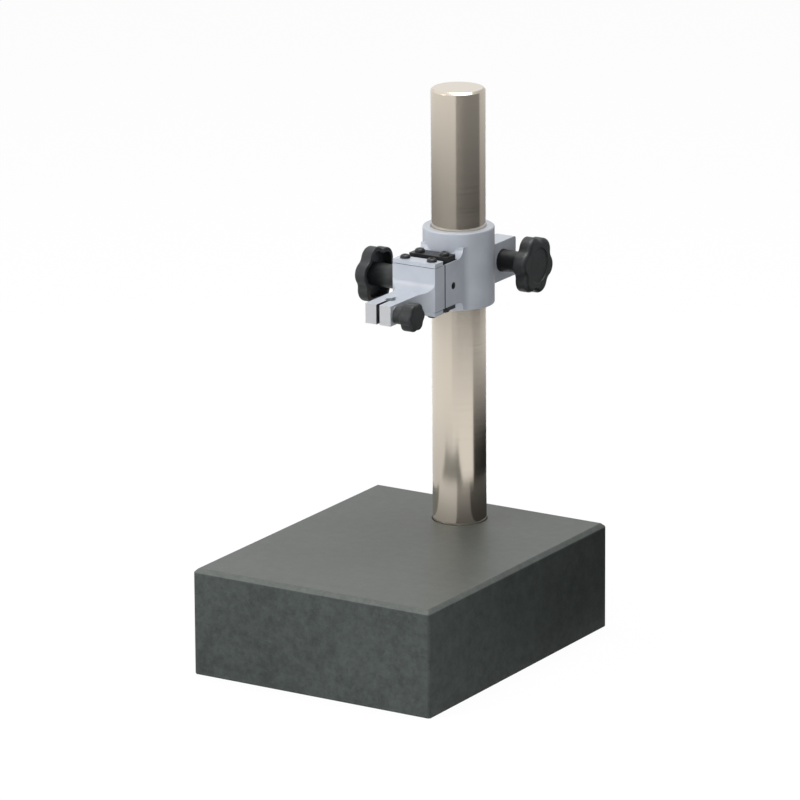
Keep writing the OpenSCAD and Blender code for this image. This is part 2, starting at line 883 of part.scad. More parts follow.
module stem_knob() {
    color(black_plastic) translate([stem_face, stem_screw_y, stem_screw_z]) along_x() {
        difference() {
            union() {
                cylinder(d = neck_d, h = neck_l + cut);
                translate([0, 0, neck_l]) rotate(small_turn) {
                    star_head(small_reach, small_lobe_r, small_hollow, small_t, small_rim);
                }
            }
            translate([0, 0, -cut]) cylinder(d = stem_screw_d + 2 * press_gap, h = stem_screw_held + cut);
        }
    }
}

module stem_screw() {
    end_x = screw_end - nose_w / 2;
    color(bare_steel) translate([end_x, stem_screw_y, stem_screw_z]) along_x() {
        turned_bar(stem_screw_d, stem_face + stem_screw_held - end_x, small_edge);
    }
}

granite_base();
column_foot_screw();
column_foot_washer();
column();
bracket_body();
eccentric_bush();
eccentric_keeper_screw();
upper_leaf_spring();
lower_leaf_spring();
upper_spring_bar();
lower_spring_bar();
bracket_spring_screws();
clamp_washer();
arm_body();
upper_spring_plate();
lower_spring_plate();
arm_spring_screws();
stem_washer();
fine_knob();
eccentric_shaft();
fine_knob_grub_screw();
thrust_washer();
clamp_knob();
clamp_screw();
clamp_spacer();
stem_knob();
stem_screw();
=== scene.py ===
"""Granite comparator stand: the looks of every piece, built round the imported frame.

The frame gives each piece its place and its size. Each sub-assembly is a class that models its
own pieces and dresses them, each finish is a small frozen class, and Studio holds the floor,
the lights and the camera. All lengths in this file are in millimetres until mm() turns them
to Blender's metres.
"""

import logging
import math
from collections.abc import Callable, Iterable, Iterator
from contextlib import contextmanager
from dataclasses import dataclass, field
from enum import Enum

import bmesh
import bpy
from mathutils import Matrix, Vector


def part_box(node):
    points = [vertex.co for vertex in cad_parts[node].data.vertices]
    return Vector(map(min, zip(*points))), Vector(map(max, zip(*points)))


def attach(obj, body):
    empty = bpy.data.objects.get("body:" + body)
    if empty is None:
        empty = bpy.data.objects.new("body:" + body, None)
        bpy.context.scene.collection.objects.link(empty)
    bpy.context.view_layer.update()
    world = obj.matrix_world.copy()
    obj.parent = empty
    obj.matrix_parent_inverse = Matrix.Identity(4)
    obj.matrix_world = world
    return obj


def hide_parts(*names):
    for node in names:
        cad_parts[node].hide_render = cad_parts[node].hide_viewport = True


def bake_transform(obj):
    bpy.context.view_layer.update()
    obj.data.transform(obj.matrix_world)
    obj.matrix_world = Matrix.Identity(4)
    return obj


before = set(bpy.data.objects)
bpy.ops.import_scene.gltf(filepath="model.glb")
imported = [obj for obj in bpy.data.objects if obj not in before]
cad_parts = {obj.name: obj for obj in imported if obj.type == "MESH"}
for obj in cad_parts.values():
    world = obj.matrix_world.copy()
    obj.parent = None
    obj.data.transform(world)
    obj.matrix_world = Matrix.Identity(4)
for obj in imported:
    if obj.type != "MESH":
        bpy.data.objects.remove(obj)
log = logging.getLogger("comparator_stand")

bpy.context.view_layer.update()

# How far a solid that cuts reaches past the face that it enters by
PAST = 1.0

# Inputs and outputs of the Mix node when it mixes colours
MIX_A = 6
MIX_B = 7
MIX_RESULT = 2


class Side(Enum):
    """Which way along X a turned piece points."""

    LEFT = -1
    RIGHT = 1


class Parts(Enum):
    """What a selection test looks at."""

    FACES = "FACE"
    EDGES = "EDGE"


class Merge(Enum):
    """What one solid does to another."""

    JOIN = "UNION"
    CUT = "DIFFERENCE"


def mm(length: float) -> float:
    """Turns a length in millimetres to metres."""
    return length / 1000.0


def point(x: float, y: float, z: float) -> Vector:
    """Turns a place in millimetres to metres."""
    return Vector((mm(x), mm(y), mm(z)))


def per_metre(feature: float) -> float:
    """Gives the pattern scale at which one feature is that many millimetres long."""
    return 1000.0 / feature


def srgb(code: str) -> tuple[float, float, float, float]:
    """Turns an sRGB hex colour to Blender's linear values.

    Args:
        code: Six hex digits, such as "A4ABB5".

    Returns:
        Linear red, green and blue, and an alpha of 1.
    """
    values = [int(code[i:i + 2], 16) / 255.0 for i in (0, 2, 4)]
    linear = [v / 12.92 if v <= 0.04045 else ((v + 0.055) / 1.055) ** 2.4 for v in values]
    return (linear[0], linear[1], linear[2], 1.0)


def add_node(
    tree: bpy.types.NodeTree, kind: str, inputs: dict | None = None, **settings: object
) -> bpy.types.Node:
    """Adds a node with its settings, and sets or links its inputs.

    Args:
        tree: Node tree of a material, a lamp or the world.
        kind: Type name of the node.
        inputs: For each input, by name or number, its value or the socket that feeds it.
        settings: Properties of the node.

    Returns:
        The new node.
    """
    node = tree.nodes.new(kind)
    for name, value in settings.items():
        setattr(node, name, value)
    for name, value in (inputs or {}).items():
        if isinstance(value, bpy.types.NodeSocket):
            tree.links.new(value, node.inputs[name])
        else:
            node.inputs[name].default_value = value
    return node


def only(piece: bpy.types.Object) -> None:
    """Deselects everything, then selects one object and makes it active.

    Args:
        piece: The object.
    """
    for other in bpy.context.selected_objects:
        other.select_set(False)
    piece.select_set(True)
    bpy.context.view_layer.objects.active = piece


def newest(name: str) -> bpy.types.Object:
    """Names the primitive that was just added and selects nothing else.

    Args:
        name: Name of the object and its mesh.

    Returns:
        The object.
    """
    piece = bpy.context.active_object
    piece.name = name
    piece.data.name = name
    only(piece)
    return piece


@contextmanager
def editing(piece: bpy.types.Object) -> Iterator[None]:
    """Opens a piece in edit mode with nothing selected, and closes it at the end.

    Args:
        piece: The object.

    Returns:
        A context in which the piece is open.
    """
    only(piece)
    bpy.ops.object.mode_set(mode="EDIT")
    bpy.ops.mesh.select_mode(type="VERT")
    bpy.ops.mesh.select_all(action="DESELECT")
    yield
    bpy.ops.object.mode_set(mode="OBJECT")


def pick(
    piece: bpy.types.Object, parts: Parts, test: Callable[[Vector, Vector], bool]
) -> int:
    """Selects what passes a test, in edit mode, and deselects the rest.

    Args:
        piece: The object in edit mode.
        parts: What the test looks at.
        test: Takes the middle of a part in millimetres, and its direction: a face's normal,
            or the way that an edge runs.

    Returns:
        How many parts were selected.
    """
    bpy.ops.mesh.select_mode(type=parts.value)
    bpy.ops.mesh.select_all(action="DESELECT")
    mesh = bmesh.from_edit_mesh(piece.data)
    mesh.normal_update()
    found = 0
    if parts is Parts.FACES:
        rows = [(f, f.calc_center_median(), f.normal) for f in mesh.faces]
    else:
        rows = [
            (e, (e.verts[0].co + e.verts[1].co) / 2, (e.verts[1].co - e.verts[0].co).normalized())
            for e in mesh.edges
        ]
    for part, middle, direction in rows:
        chosen = bool(test(middle * 1000.0, direction))
        part.select_set(chosen)
        found += chosen
    mesh.select_flush_mode()
    bmesh.update_edit_mesh(piece.data)
    return found


def apply_modifier(piece: bpy.types.Object, kind: str, **settings: object) -> None:
    """Adds a modifier with its settings and applies it to the mesh.

    Args:
        piece: The object.
        kind: Type name of the modifier.
        settings: Properties of the modifier.
    """
    only(piece)
    modifier = piece.modifiers.new(kind.title(), kind)
    for name, value in settings.items():
        setattr(modifier, name, value)
    bpy.ops.object.modifier_apply(modifier=modifier.name)


def merge_with(piece: bpy.types.Object, other: bpy.types.Object, merge: Merge) -> None:
    """Joins another solid to a piece or cuts it away, and deletes the other solid."""
    apply_modifier(piece, "BOOLEAN", operation=merge.value, object=other, solver="EXACT")
    bpy.data.objects.remove(other, do_unlink=True)


def settle(piece: bpy.types.Object) -> None:
    """Moves an object's place into its mesh, so that the object lies at the origin."""
    only(piece)
    bpy.ops.object.transform_apply(location=True, rotation=True, scale=True)


def smooth(piece: bpy.types.Object, angle: float = 32.0) -> None:
    """Shades a piece smooth, apart from edges sharper than the angle in degrees.

    Each corner's normal leans to its largest face, so that a long wall stays straight in its
    reflections and only the narrow rounding beside it turns.

    Args:
        piece: The object to shade.
        angle: Edges sharper than this many degrees stay sharp.
    """
    only(piece)
    bpy.ops.object.shade_smooth_by_angle(angle=math.radians(angle))
    apply_modifier(piece, "WEIGHTED_NORMAL", mode="FACE_AREA", weight=50, keep_sharp=True)


def soften(piece: bpy.types.Object, width: float, segments: int = 2, angle: float = 35.0) -> None:
    """Rounds every edge sharper than an angle, as casting, grinding or tumbling does.

    Args:
        piece: The object to round.
        width: Width of the rounding in millimetres.
        segments: Steps in each rounding.
        angle: Only edges sharper than this many degrees are rounded.
    """
    apply_modifier(
        piece, "BEVEL", width=mm(width), segments=segments, limit_method="ANGLE",
        angle_limit=math.radians(angle), miter_outer="MITER_ARC", use_clamp_overlap=True,
    )


def copy_of(node: str, name: str) -> bpy.types.Object:
    """Copies a node of the frame, with its triangles merged to whole faces.

    Args:
        node: The node's name in the frame.
        name: Name of the new piece.

    Returns:
        The copy, with its place in its mesh.
    """
    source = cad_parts[node]
    mesh = source.data.copy()
    mesh.name = name
    mesh.materials.clear()
    piece = bpy.data.objects.new(name, mesh)
    bpy.context.collection.objects.link(piece)
    only(piece)
    bpy.ops.object.mode_set(mode="EDIT")
    bpy.ops.mesh.select_all(action="SELECT")
    bpy.ops.mesh.customdata_custom_splitnormals_clear()
    bpy.ops.mesh.remove_doubles(threshold=mm(0.002))
    bpy.ops.mesh.dissolve_limited(angle_limit=math.radians(0.4))
    bpy.ops.object.mode_set(mode="OBJECT")
    return piece


def dress(
    piece: bpy.types.Object, material: bpy.types.Material, slot: str, body: str,
    nodes: Iterable[str],
) -> bpy.types.Object:
    """Gives a finished piece its material and ties it to the frame.

    Args:
        piece: The finished object.
        material: Its finish.
        slot: The record's material slot for it; not used.
        body: The body that it moves with.
        nodes: The frame's nodes that it stands for.

    Returns:
        The piece.
    """
    piece.data.materials.clear()
    piece.data.materials.append(material)
    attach(piece, body)
    if nodes:
        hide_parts(*nodes)
    log.info("%s: %d faces, moves with %s", piece.name, len(piece.data.polygons), body)
    return piece


def fitted_copy(
    node: str, name: str, material: bpy.types.Material, slot: str, body: str, width: float,
    segments: int = 2, angle: float = 35.0, shade: float = 32.0,
) -> None:
    """Copies a node of the frame, rounds its edges, shades it and dresses it.

    Args:
        node: The node's name in the frame.
        name: Name of the new piece.
        material: Its finish.
        slot: The record's material slot for it.
        body: The body that it moves with.
        width: Width of the rounding in millimetres.
        segments: Steps in each rounding.
        angle: Only edges sharper than this many degrees are rounded.
        shade: Edges sharper than this many degrees are shaded sharp.
    """
    piece = copy_of(node, name)
    soften(piece, width, segments, angle)
    smooth(piece, shade)
    dress(piece, material, slot, body, [node])


def cylinder(name: str, radius: float, low: float, high: float, sides: int) -> bpy.types.Object:
    """Models a cylinder on the Z axis.

    Args:
        name: Name of the new object.
        radius: Its radius.
        low: Height of its lower end.
        high: Height of its upper end.
        sides: How many sides it has.

    Returns:
        The cylinder, with its place in its mesh.
    """
    bpy.ops.mesh.primitive_cylinder_add(
        vertices=sides, radius=mm(radius), depth=mm(high - low),
        location=point(0.0, 0.0, (low + high) / 2),
    )
    piece = newest(name)
    settle(piece)
    return piece


@dataclass(frozen=True)
class Finish:
    """What every finish shares: a named material with one Principled shader."""

    name: str = "finish"

    def start(self, **constants: object) -> tuple:
        """Makes the material and sets the shader's constant sockets.

        Args:
            constants: Values of the shader's sockets, with _ for each space in a name.

        Returns:
            The material, its tree, its shader and the Object coordinates' socket.
        """
        material = bpy.data.materials.new(self.name)
        material.use_nodes = True
        tree = material.node_tree
        tree.nodes.clear()
        values = {name.replace("_", " "): value for name, value in constants.items()}
        shader = add_node(tree, "ShaderNodeBsdfPrincipled", values)
        add_node(tree, "ShaderNodeOutputMaterial", {"Surface": shader.outputs["BSDF"]})
        place = add_node(tree, "ShaderNodeTexCoord").outputs["Object"]
        return material, tree, shader, place


@dataclass(frozen=True)
class GraniteFinish(Finish):
    """Fine black granite: sawn and ground sides, and a top that was lapped flat.

    Ground stone is dark and slightly dull. Its grains of feldspar, hornblende and mica show
    as a soft mottling of a few millimetres, in wider clouds. The top mirrors the room at a
    low angle, and its hand-ground edges scatter the light and look a little paler.

    Attributes:
        grain: Length of a grain of feldspar.
        speck: Length of a fleck of mica.
        blotch: Length of a cluster of grains.
        cloud: Length of a lighter or darker cloud.
        edge_low: Height at which the ground edges start.
        edge_high: Height at which the lapped top starts.
        border: Half the width over which one surface turns to the next.
    """

    name: str = "granite_ground_and_lapped"
    side_dark: str = "1F2625"
    side_light: str = "363E3B"
    top_dark: str = "3A3E3A"
    top_light: str = "474B47"
    edge_dark: str = "424643"
    edge_light: str = "525653"
    grain: float = 3.6
    speck: float = 1.1
    blotch: float = 8.0
    cloud: float = 60.0
    edge_low: float = 77.0
    edge_high: float = 79.9
    border: float = 0.08

    def build(self) -> bpy.types.Material:
        """Makes the granite's material."""
        material, tree, shader, place = self.start(Roughness=0.5, IOR=1.52)
        grain = add_node(tree, "ShaderNodeTexNoise", {
            "Vector": place, "Scale": per_metre(self.grain), "Detail": 4.0, "Roughness": 0.6,
        })
        speck = add_node(tree, "ShaderNodeTexVoronoi", {
            "Vector": place, "Scale": per_metre(self.speck), "Randomness": 1.0,
        })
        speck_cells = add_node(tree, "ShaderNodeSeparateColor", {"Color": speck.outputs["Color"]})
        blotches, clouds = (
            add_node(tree, "ShaderNodeTexNoise", {
                "Vector": place, "Scale": per_metre(size), "Detail": 2.0,
            }).outputs["Fac"]
            for size in (self.blotch, self.cloud)
        )
        mottle: bpy.types.NodeSocket | float = 0.0
        for value, share in (
            (grain.outputs["Fac"], 0.50),
            (speck_cells.outputs["Red"], 0.10),
            (blotches, 0.42),
            (clouds, 0.30),
        ):
            mottle = add_node(tree, "ShaderNodeMath", {0: value, 1: share, 2: mottle},
                              operation="MULTIPLY_ADD").outputs[0]
        spread = add_node(tree, "ShaderNodeMapRange", {
            "Value": mottle, "From Min": 0.50, "From Max": 0.82,
        }).outputs["Result"]
        side, edge, top = (
            add_node(tree, "ShaderNodeMix", {
                0: spread, MIX_A: srgb(dark), MIX_B: srgb(light),
            }, data_type="RGBA").outputs[MIX_RESULT]
            for dark, light in (
                (self.side_dark, self.side_light),
                (self.edge_dark, self.edge_light),
                (self.top_dark, self.top_light),
            )
        )
        height = add_node(tree, "ShaderNodeSeparateXYZ", {"Vector": place}).outputs["Z"]
        on_edge, lapped = (
            add_node(tree, "ShaderNodeMapRange", {
                "Value": height, "From Min": mm(limit - self.border),
                "From Max": mm(limit + self.border),
            }).outputs["Result"]
            for limit in (self.edge_low, self.edge_high)
        )
        colour = side
        for share, layer in ((on_edge, edge), (lapped, top)):
            colour = add_node(tree, "ShaderNodeMix", {0: share, MIX_A: colour, MIX_B: layer},
                              data_type="RGBA").outputs[MIX_RESULT]
        tree.links.new(colour, shader.inputs["Base Color"])
        sheen = add_node(tree, "ShaderNodeMapRange", {
            "Value": lapped, "To Min": 0.62, "To Max": 0.36,
        })
        gloss = add_node(tree, "ShaderNodeMath", {
            0: grain.outputs["Fac"], 1: 0.14, 2: sheen.outputs["Result"],
        }, operation="MULTIPLY_ADD")
        tree.links.new(gloss.outputs[0], shader.inputs["Roughness"])
        depth = add_node(tree, "ShaderNodeMapRange", {
            "Value": lapped, "To Min": 0.20, "To Max": 0.02,
        })
        pits = add_node(tree, "ShaderNodeBump", {
            "Height": grain.outputs["Fac"], "Strength": depth.outputs["Result"],
            "Distance": mm(0.3),
        })
        tree.links.new(pits.outputs["Normal"], shader.inputs["Normal"])
        return material


@dataclass(frozen=True)
class GroundBarFinish(Finish):
    """Hard chromed round bar, ground between centres.

    The grinding wheel leaves fine rings round the bar, so reflections are sharp across it
    and drawn out along it. The chrome over nickel is slightly warm.

    Attributes:
        ring: Width of a grinding mark, which is drawn as coarse as it needs to show.
        drawn: Length of a grinding mark round the bar.
        dull: Roughness of the finest and of the coarsest marks.
    """

    name: str = "steel_bar_ground_and_chromed"
    metal: str = "E2D8C9"
    ring: float = 0.9
    drawn: float = 60.0
    dull: tuple[float, float] = (0.14, 0.19)

    def build(self) -> bpy.types.Material:
        """Makes the column's material."""
        material, tree, shader, place = self.start(
            Base_Color=srgb(self.metal), Metallic=1.0, Roughness=0.16, Anisotropic=0.3,
        )
        rings = add_node(tree, "ShaderNodeMapping", {
            "Vector": place,
            "Scale": (per_metre(self.drawn), per_metre(self.drawn), per_metre(self.ring)),
        })
        marks = add_node(tree, "ShaderNodeTexNoise", {
            "Vector": rings.outputs["Vector"], "Scale": 1.0, "Detail": 3.0,
        })
        gloss = add_node(tree, "ShaderNodeMapRange", {
            "Value": marks.outputs["Fac"], "From Min": 0.3, "From Max": 0.7,
            "To Min": self.dull[0], "To Max": self.dull[1],
        })
        tree.links.new(gloss.outputs["Result"], shader.inputs["Roughness"])
        fine = add_node(tree, "ShaderNodeBump", {
            "Height": marks.outputs["Fac"], "Strength": 0.05, "Distance": mm(0.1),
        })
        tree.links.new(fine.outputs["Normal"], shader.inputs["Normal"])
        along = add_node(tree, "ShaderNodeTangent", direction_type="RADIAL", axis="Z")
        tree.links.new(along.outputs["Tangent"], shader.inputs["Tangent"])
        return material


@dataclass(frozen=True)
class EnamelFinish(Finish):
    """Satin blue-grey stoving enamel, sprayed on a cast and milled body.

    The paint flows out to a faint orange peel a millimetre or two wide, under a soft gloss.
    It was masked at the machined places: bare metal shows at the clamp's milled end. The bare,
    oiled metal in the clamp's saw cut, in the bore for the drive's shaft and on the face that
    meets the other casting is darkened with painted shade.

    Attributes:
        bare_front: Y behind which the paint starts, where the front end is bare.
        cut_half: Half the width of the saw cut, where there is one.
        cut_back: Y at which the saw cut ends.
        seam: Y of the face that meets the other casting, which is left unpainted and darkened
            with painted shade.
        seam_behind: Whether that face is the casting's back one.
        bore: Y and Z of the shaft's bore, where there is one.
        bore_r: Radius of that bore.
        border: Half the width of a border that was masked.
        cut_shade_margin: How far beside the saw cut its painted shade starts and ends to thin
            out.
        oil_and_shade_margin: The same beside the bore and before the unpainted face, for the bare
            oiled metal and its painted shade.
    """

    name: str = "enamel_on_casting"
    paint: str = "ADB2BB"
    paint_low: str = "A3A9B2"
    peel: float = 1.7
    cloud: float = 24.0
    bare_front: float | None = None
    metal: str = "B3B4B7"
    cut_half: float = 0.0
    cut_back: float = 0.0
    seam: float | None = None
    seam_behind: bool = False
    bore: tuple[float, float] | None = None
    bore_r: float = 2.5
    # Bare oiled metal darkened with painted shade, for the saw cut, the bore and the seam
    oil_and_shade: str = "2A2D31"
    border: float = 0.05
    cut_shade_margin: tuple[float, float] = (0.06, 0.18)
    oil_and_shade_margin: tuple[float, float] = (0.05, 0.25)

    def build(self) -> bpy.types.Material:
        """Makes the enamel's material."""
        material, tree, shader, place = self.start(
            Roughness=0.34, IOR=1.5, Coat_Weight=0.25, Coat_Roughness=0.22,
        )
        cloud = add_node(tree, "ShaderNodeTexNoise", {
            "Vector": place, "Scale": per_metre(self.cloud), "Detail": 3.0,
        })
        tone = add_node(tree, "ShaderNodeMapRange", {
            "Value": cloud.outputs["Fac"], "From Min": 0.35, "From Max": 0.65,
        })
        paint = add_node(tree, "ShaderNodeMix", {
            0: tone.outputs["Result"], MIX_A: srgb(self.paint_low), MIX_B: srgb(self.paint),
        }, data_type="RGBA")
        peel = add_node(tree, "ShaderNodeTexNoise", {
            "Vector": place, "Scale": per_metre(self.peel), "Detail": 1.0,
        })
        relief = add_node(tree, "ShaderNodeBump", {
            "Height": peel.outputs["Fac"], "Strength": 0.10, "Distance": mm(0.25),
        })
        tree.links.new(relief.outputs["Normal"], shader.inputs["Normal"])
        colour = paint.outputs[MIX_RESULT]
        for share, code in self.unpainted(tree, shader, place):
            colour = add_node(tree, "ShaderNodeMix", {
                0: share, MIX_A: colour, MIX_B: srgb(code),
            }, data_type="RGBA").outputs[MIX_RESULT]
        tree.links.new(colour, shader.inputs["Base Color"])
        return material

    def unpainted(
        self, tree: bpy.types.NodeTree, shader: bpy.types.Node, place: bpy.types.NodeSocket
    ) -> Iterator[tuple[bpy.types.NodeSocket, str]]:
        """Marks the places that this casting's paint leaves free: the bare milled end, and the
        saw cut, bore and seam, which are darkened with painted shade.

        Args:
            tree: The material's node tree.
            shader: Its shader, which turns metallic where the end is milled.
            place: The Object coordinates' socket.

        Returns:
            For each place in turn, the socket that is 1 there, and the place's colour.
        """
        place_of = add_node(tree, "ShaderNodeSeparateXYZ", {"Vector": place})
        if self.bare_front is not None:
            bare = add_node(tree, "ShaderNodeMapRange", {
                "Value": place_of.outputs["Y"], "From Min": mm(self.bare_front + self.border),
                "From Max": mm(self.bare_front - self.border),
            }).outputs["Result"]
            shine = add_node(tree, "ShaderNodeMath", {0: bare, 1: 0.35}, operation="MULTIPLY")
            tree.links.new(shine.outputs[0], shader.inputs["Metallic"])
            yield bare, self.metal
        if self.cut_half > 0:
            across = add_node(tree, "ShaderNodeMath", {0: place_of.outputs["X"]},
                              operation="ABSOLUTE")
            narrow = add_node(tree, "ShaderNodeMapRange", {
                "Value": across.outputs[0], "From Min": mm(self.cut_half + self.cut_shade_margin[1]),
                "From Max": mm(self.cut_half + self.cut_shade_margin[0]),
            })
            in_front = add_node(tree, "ShaderNodeMapRange", {
                "Value": place_of.outputs["Y"], "From Min": mm(self.cut_back + self.border),
                "From Max": mm(self.cut_back - self.border),
            })
            cut = add_node(tree, "ShaderNodeMath", {
                0: narrow.outputs["Result"], 1: in_front.outputs["Result"],
            }, operation="MULTIPLY")
            # Painted shade: the saw cut's walls are drawn dark
            yield cut.outputs[0], self.oil_and_shade
        if self.seam is not None:
            # Painted shade: the faces across the gap between the castings are drawn dark, so the
            # seam shows as a dark line
            way = -1.0 if self.seam_behind else 1.0
            yield add_node(tree, "ShaderNodeMapRange", {
                "Value": place_of.outputs["Y"],
                "From Min": mm(self.seam + way * self.oil_and_shade_margin[1]),
                "From Max": mm(self.seam + way * self.oil_and_shade_margin[0]),
            }).outputs["Result"], self.oil_and_shade
        if self.bore is not None:
            # Painted shade: the bore's walls and a thin ring round it are drawn dark
            flat = add_node(tree, "ShaderNodeVectorMath", {
                0: place, 1: (0.0, mm(self.bore[0]), mm(self.bore[1])),
            }, operation="SUBTRACT")
            side_on = add_node(tree, "ShaderNodeVectorMath", {
                0: flat.outputs["Vector"], 1: (0.0, 1.0, 1.0),
            }, operation="MULTIPLY")
            radius = add_node(tree, "ShaderNodeVectorMath", {
                0: side_on.outputs["Vector"],
            }, operation="LENGTH")
            yield add_node(tree, "ShaderNodeMapRange", {
                "Value": radius.outputs["Value"],
                "From Min": mm(self.bore_r + self.oil_and_shade_margin[1]),
                "From Max": mm(self.bore_r + self.oil_and_shade_margin[0]),
            }).outputs["Result"], self.oil_and_shade


@dataclass(frozen=True)
class MachinedSteelFinish(Finish):
    """Bright mild steel, turned or milled and left bare.

    Tool marks a few tenths of a millimetre apart blur the reflections, and handling leaves
    faint duller clouds.
    """

    name: str = "mild_steel_turned"
    metal: str = "C4C5C6"
    mark: float = 0.7
    cloud: float = 6.0
    roughness: float = 0.3

    def build(self) -> bpy.types.Material:
        """Makes the bare steel's material."""
        material, tree, shader, place = self.start(Base_Color=srgb(self.metal), Metallic=1.0)
        marks = add_node(tree, "ShaderNodeTexNoise", {
            "Vector": place, "Scale": per_metre(self.mark), "Detail": 2.0,
        })
        cloud = add_node(tree, "ShaderNodeTexNoise", {
            "Vector": place, "Scale": per_metre(self.cloud), "Detail": 2.0,
        })
        gloss = add_node(tree, "ShaderNodeMapRange", {
            "Value": cloud.outputs["Fac"], "From Min": 0.3, "From Max": 0.7,
            "To Min": self.roughness - 0.06, "To Max": self.roughness + 0.08,
        })
        tree.links.new(gloss.outputs["Result"], shader.inputs["Roughness"])
        fine = add_node(tree, "ShaderNodeBump", {
            "Height": marks.outputs["Fac"], "Strength": 0.06, "Distance": mm(0.1),
        })
        tree.links.new(fine.outputs["Normal"], shader.inputs["Normal"])
        return material


@dataclass(frozen=True)
class BlackOxideFinish(Finish):
    """Steel blackened in a hot salt bath and oiled.

    The thin oxide keeps the steel's fine texture and shines softly, blue-black, a little
    brown where the bath left it thin.
    """

    name: str = "steel_black_oxide"
    black: str = "15171B"
    brown: str = "1D1B1A"
    cloud: float = 4.0
    roughness: float = 0.38

    def build(self) -> bpy.types.Material:
        """Makes the blackened steel's material."""
        material, tree, shader, place = self.start(
            Metallic=0.2, Roughness=self.roughness, Coat_Weight=0.1, Coat_Roughness=0.3,
        )
        cloud = add_node(tree, "ShaderNodeTexNoise", {
            "Vector": place, "Scale": per_metre(self.cloud), "Detail": 3.0,
        })
        tone = add_node(tree, "ShaderNodeMapRange", {
            "Value": cloud.outputs["Fac"], "From Min": 0.4, "From Max": 0.7,
        })
        colour = add_node(tree, "ShaderNodeMix", {
            0: tone.outputs["Result"], MIX_A: srgb(self.black), MIX_B: srgb(self.brown),
        }, data_type="RGBA")
        tree.links.new(colour.outputs[MIX_RESULT], shader.inputs["Base Color"])
        gloss = add_node(tree, "ShaderNodeMapRange", {
            "Value": cloud.outputs["Fac"], "From Min": 0.3, "From Max": 0.7,
            "To Min": self.roughness - 0.08, "To Max": self.roughness + 0.08,
        })
        tree.links.new(gloss.outputs["Result"], shader.inputs["Roughness"])
        return material


@dataclass(frozen=True)
class MouldedKnobFinish(Finish):
    """Black phenolic or glass-filled nylon, moulded in a spark-eroded tool.

    The tool's fine grain gives a grey, even sheen with no sharp highlight. Real grain is
    under 0.1 mm, and it is drawn at 0.5 mm so that it shows.
    """

    name: str = "phenolic_moulded"
    black: str = "131618"
    worn: str = "1F2324"
    grain: float = 0.5
    cloud: float = 9.0

    def build(self) -> bpy.types.Material:
        """Makes the knobs' material."""
        material, tree, shader, place = self.start(Roughness=0.45, IOR=1.5)
        grain = add_node(tree, "ShaderNodeTexNoise", {
            "Vector": place, "Scale": per_metre(self.grain), "Detail": 2.0,
        })
        cloud = add_node(tree, "ShaderNodeTexNoise", {
            "Vector": place, "Scale": per_metre(self.cloud), "Detail": 2.0,
        })
        tone = add_node(tree, "ShaderNodeMapRange", {
            "Value": cloud.outputs["Fac"], "From Min": 0.4, "From Max": 0.75,
        })
        colour = add_node(tree, "ShaderNodeMix", {
            0: tone.outputs["Result"], MIX_A: srgb(self.black), MIX_B: srgb(self.worn),
        }, data_type="RGBA")
        tree.links.new(colour.outputs[MIX_RESULT], shader.inputs["Base Color"])
        gloss = add_node(tree, "ShaderNodeMapRange", {
            "Value": grain.outputs["Fac"], "From Min": 0.3, "From Max": 0.7,
            "To Min": 0.38, "To Max": 0.54,
        })
        tree.links.new(gloss.outputs["Result"], shader.inputs["Roughness"])
        relief = add_node(tree, "ShaderNodeBump", {
            "Height": grain.outputs["Fac"], "Strength": 0.16, "Distance": mm(0.12),
        })
        tree.links.new(relief.outputs["Normal"], shader.inputs["Normal"])
        return material


@dataclass(frozen=True)
class Finishes:
    """One material of each finish, made once and shared by the sub-assemblies."""

    granite: bpy.types.Material
    column: bpy.types.Material
    enamel: bpy.types.Material
    enamel_bracket: bpy.types.Material
    enamel_arm: bpy.types.Material
    steel: bpy.types.Material
    washer: bpy.types.Material
    spring: bpy.types.Material
    black_steel: bpy.types.Material
    black_sleeve: bpy.types.Material
    knob: bpy.types.Material
    bronze: bpy.types.Material

    @classmethod
    def make(cls) -> "Finishes":
        """Builds every finish."""
        nose_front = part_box("arm_body")[0].y * 1000.0
        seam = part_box("bracket_body")[0].y * 1000.0
        seam_gap = 1.0
        milled_depth = 0.8
        saw_cut = 2.6
        stem_y = -13.0
        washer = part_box("thrust_washer")
        drive = (500.0 * (washer[0].y + washer[1].y), 500.0 * (washer[0].z + washer[1].z))
        return cls(
            granite=GraniteFinish().build(),
            column=GroundBarFinish().build(),
            enamel=EnamelFinish().build(),
            # Painted shade darkens the bracket's bore and seam, and the arm's saw cut and seam
            enamel_bracket=EnamelFinish(
                name="enamel_on_casting_with_shaded_bore", bore=drive, seam=seam,
            ).build(),
            enamel_arm=EnamelFinish(
                name="enamel_on_casting_with_milled_end", bare_front=nose_front + milled_depth,
                cut_half=saw_cut / 2, cut_back=stem_y, seam=seam - seam_gap, seam_behind=True,
            ).build(),
            steel=MachinedSteelFinish().build(),
            washer=MachinedSteelFinish(
                name="steel_washer_stamped", metal="8F9194", roughness=0.42, cloud=3.0,
            ).build(),
            spring=MachinedSteelFinish(
                name="spring_steel_blued", metal="5B6068", roughness=0.24, cloud=12.0,
            ).build(),
            black_steel=BlackOxideFinish().build(),
            black_sleeve=BlackOxideFinish(
                name="steel_black_oxide_dry", black="08090B", brown="0D0C0C", roughness=0.5,
            ).build(),
            knob=MouldedKnobFinish().build(),
            bronze=MachinedSteelFinish(
                name="bearing_bronze_turned", metal="B8905A", roughness=0.34,
            ).build(),
        )


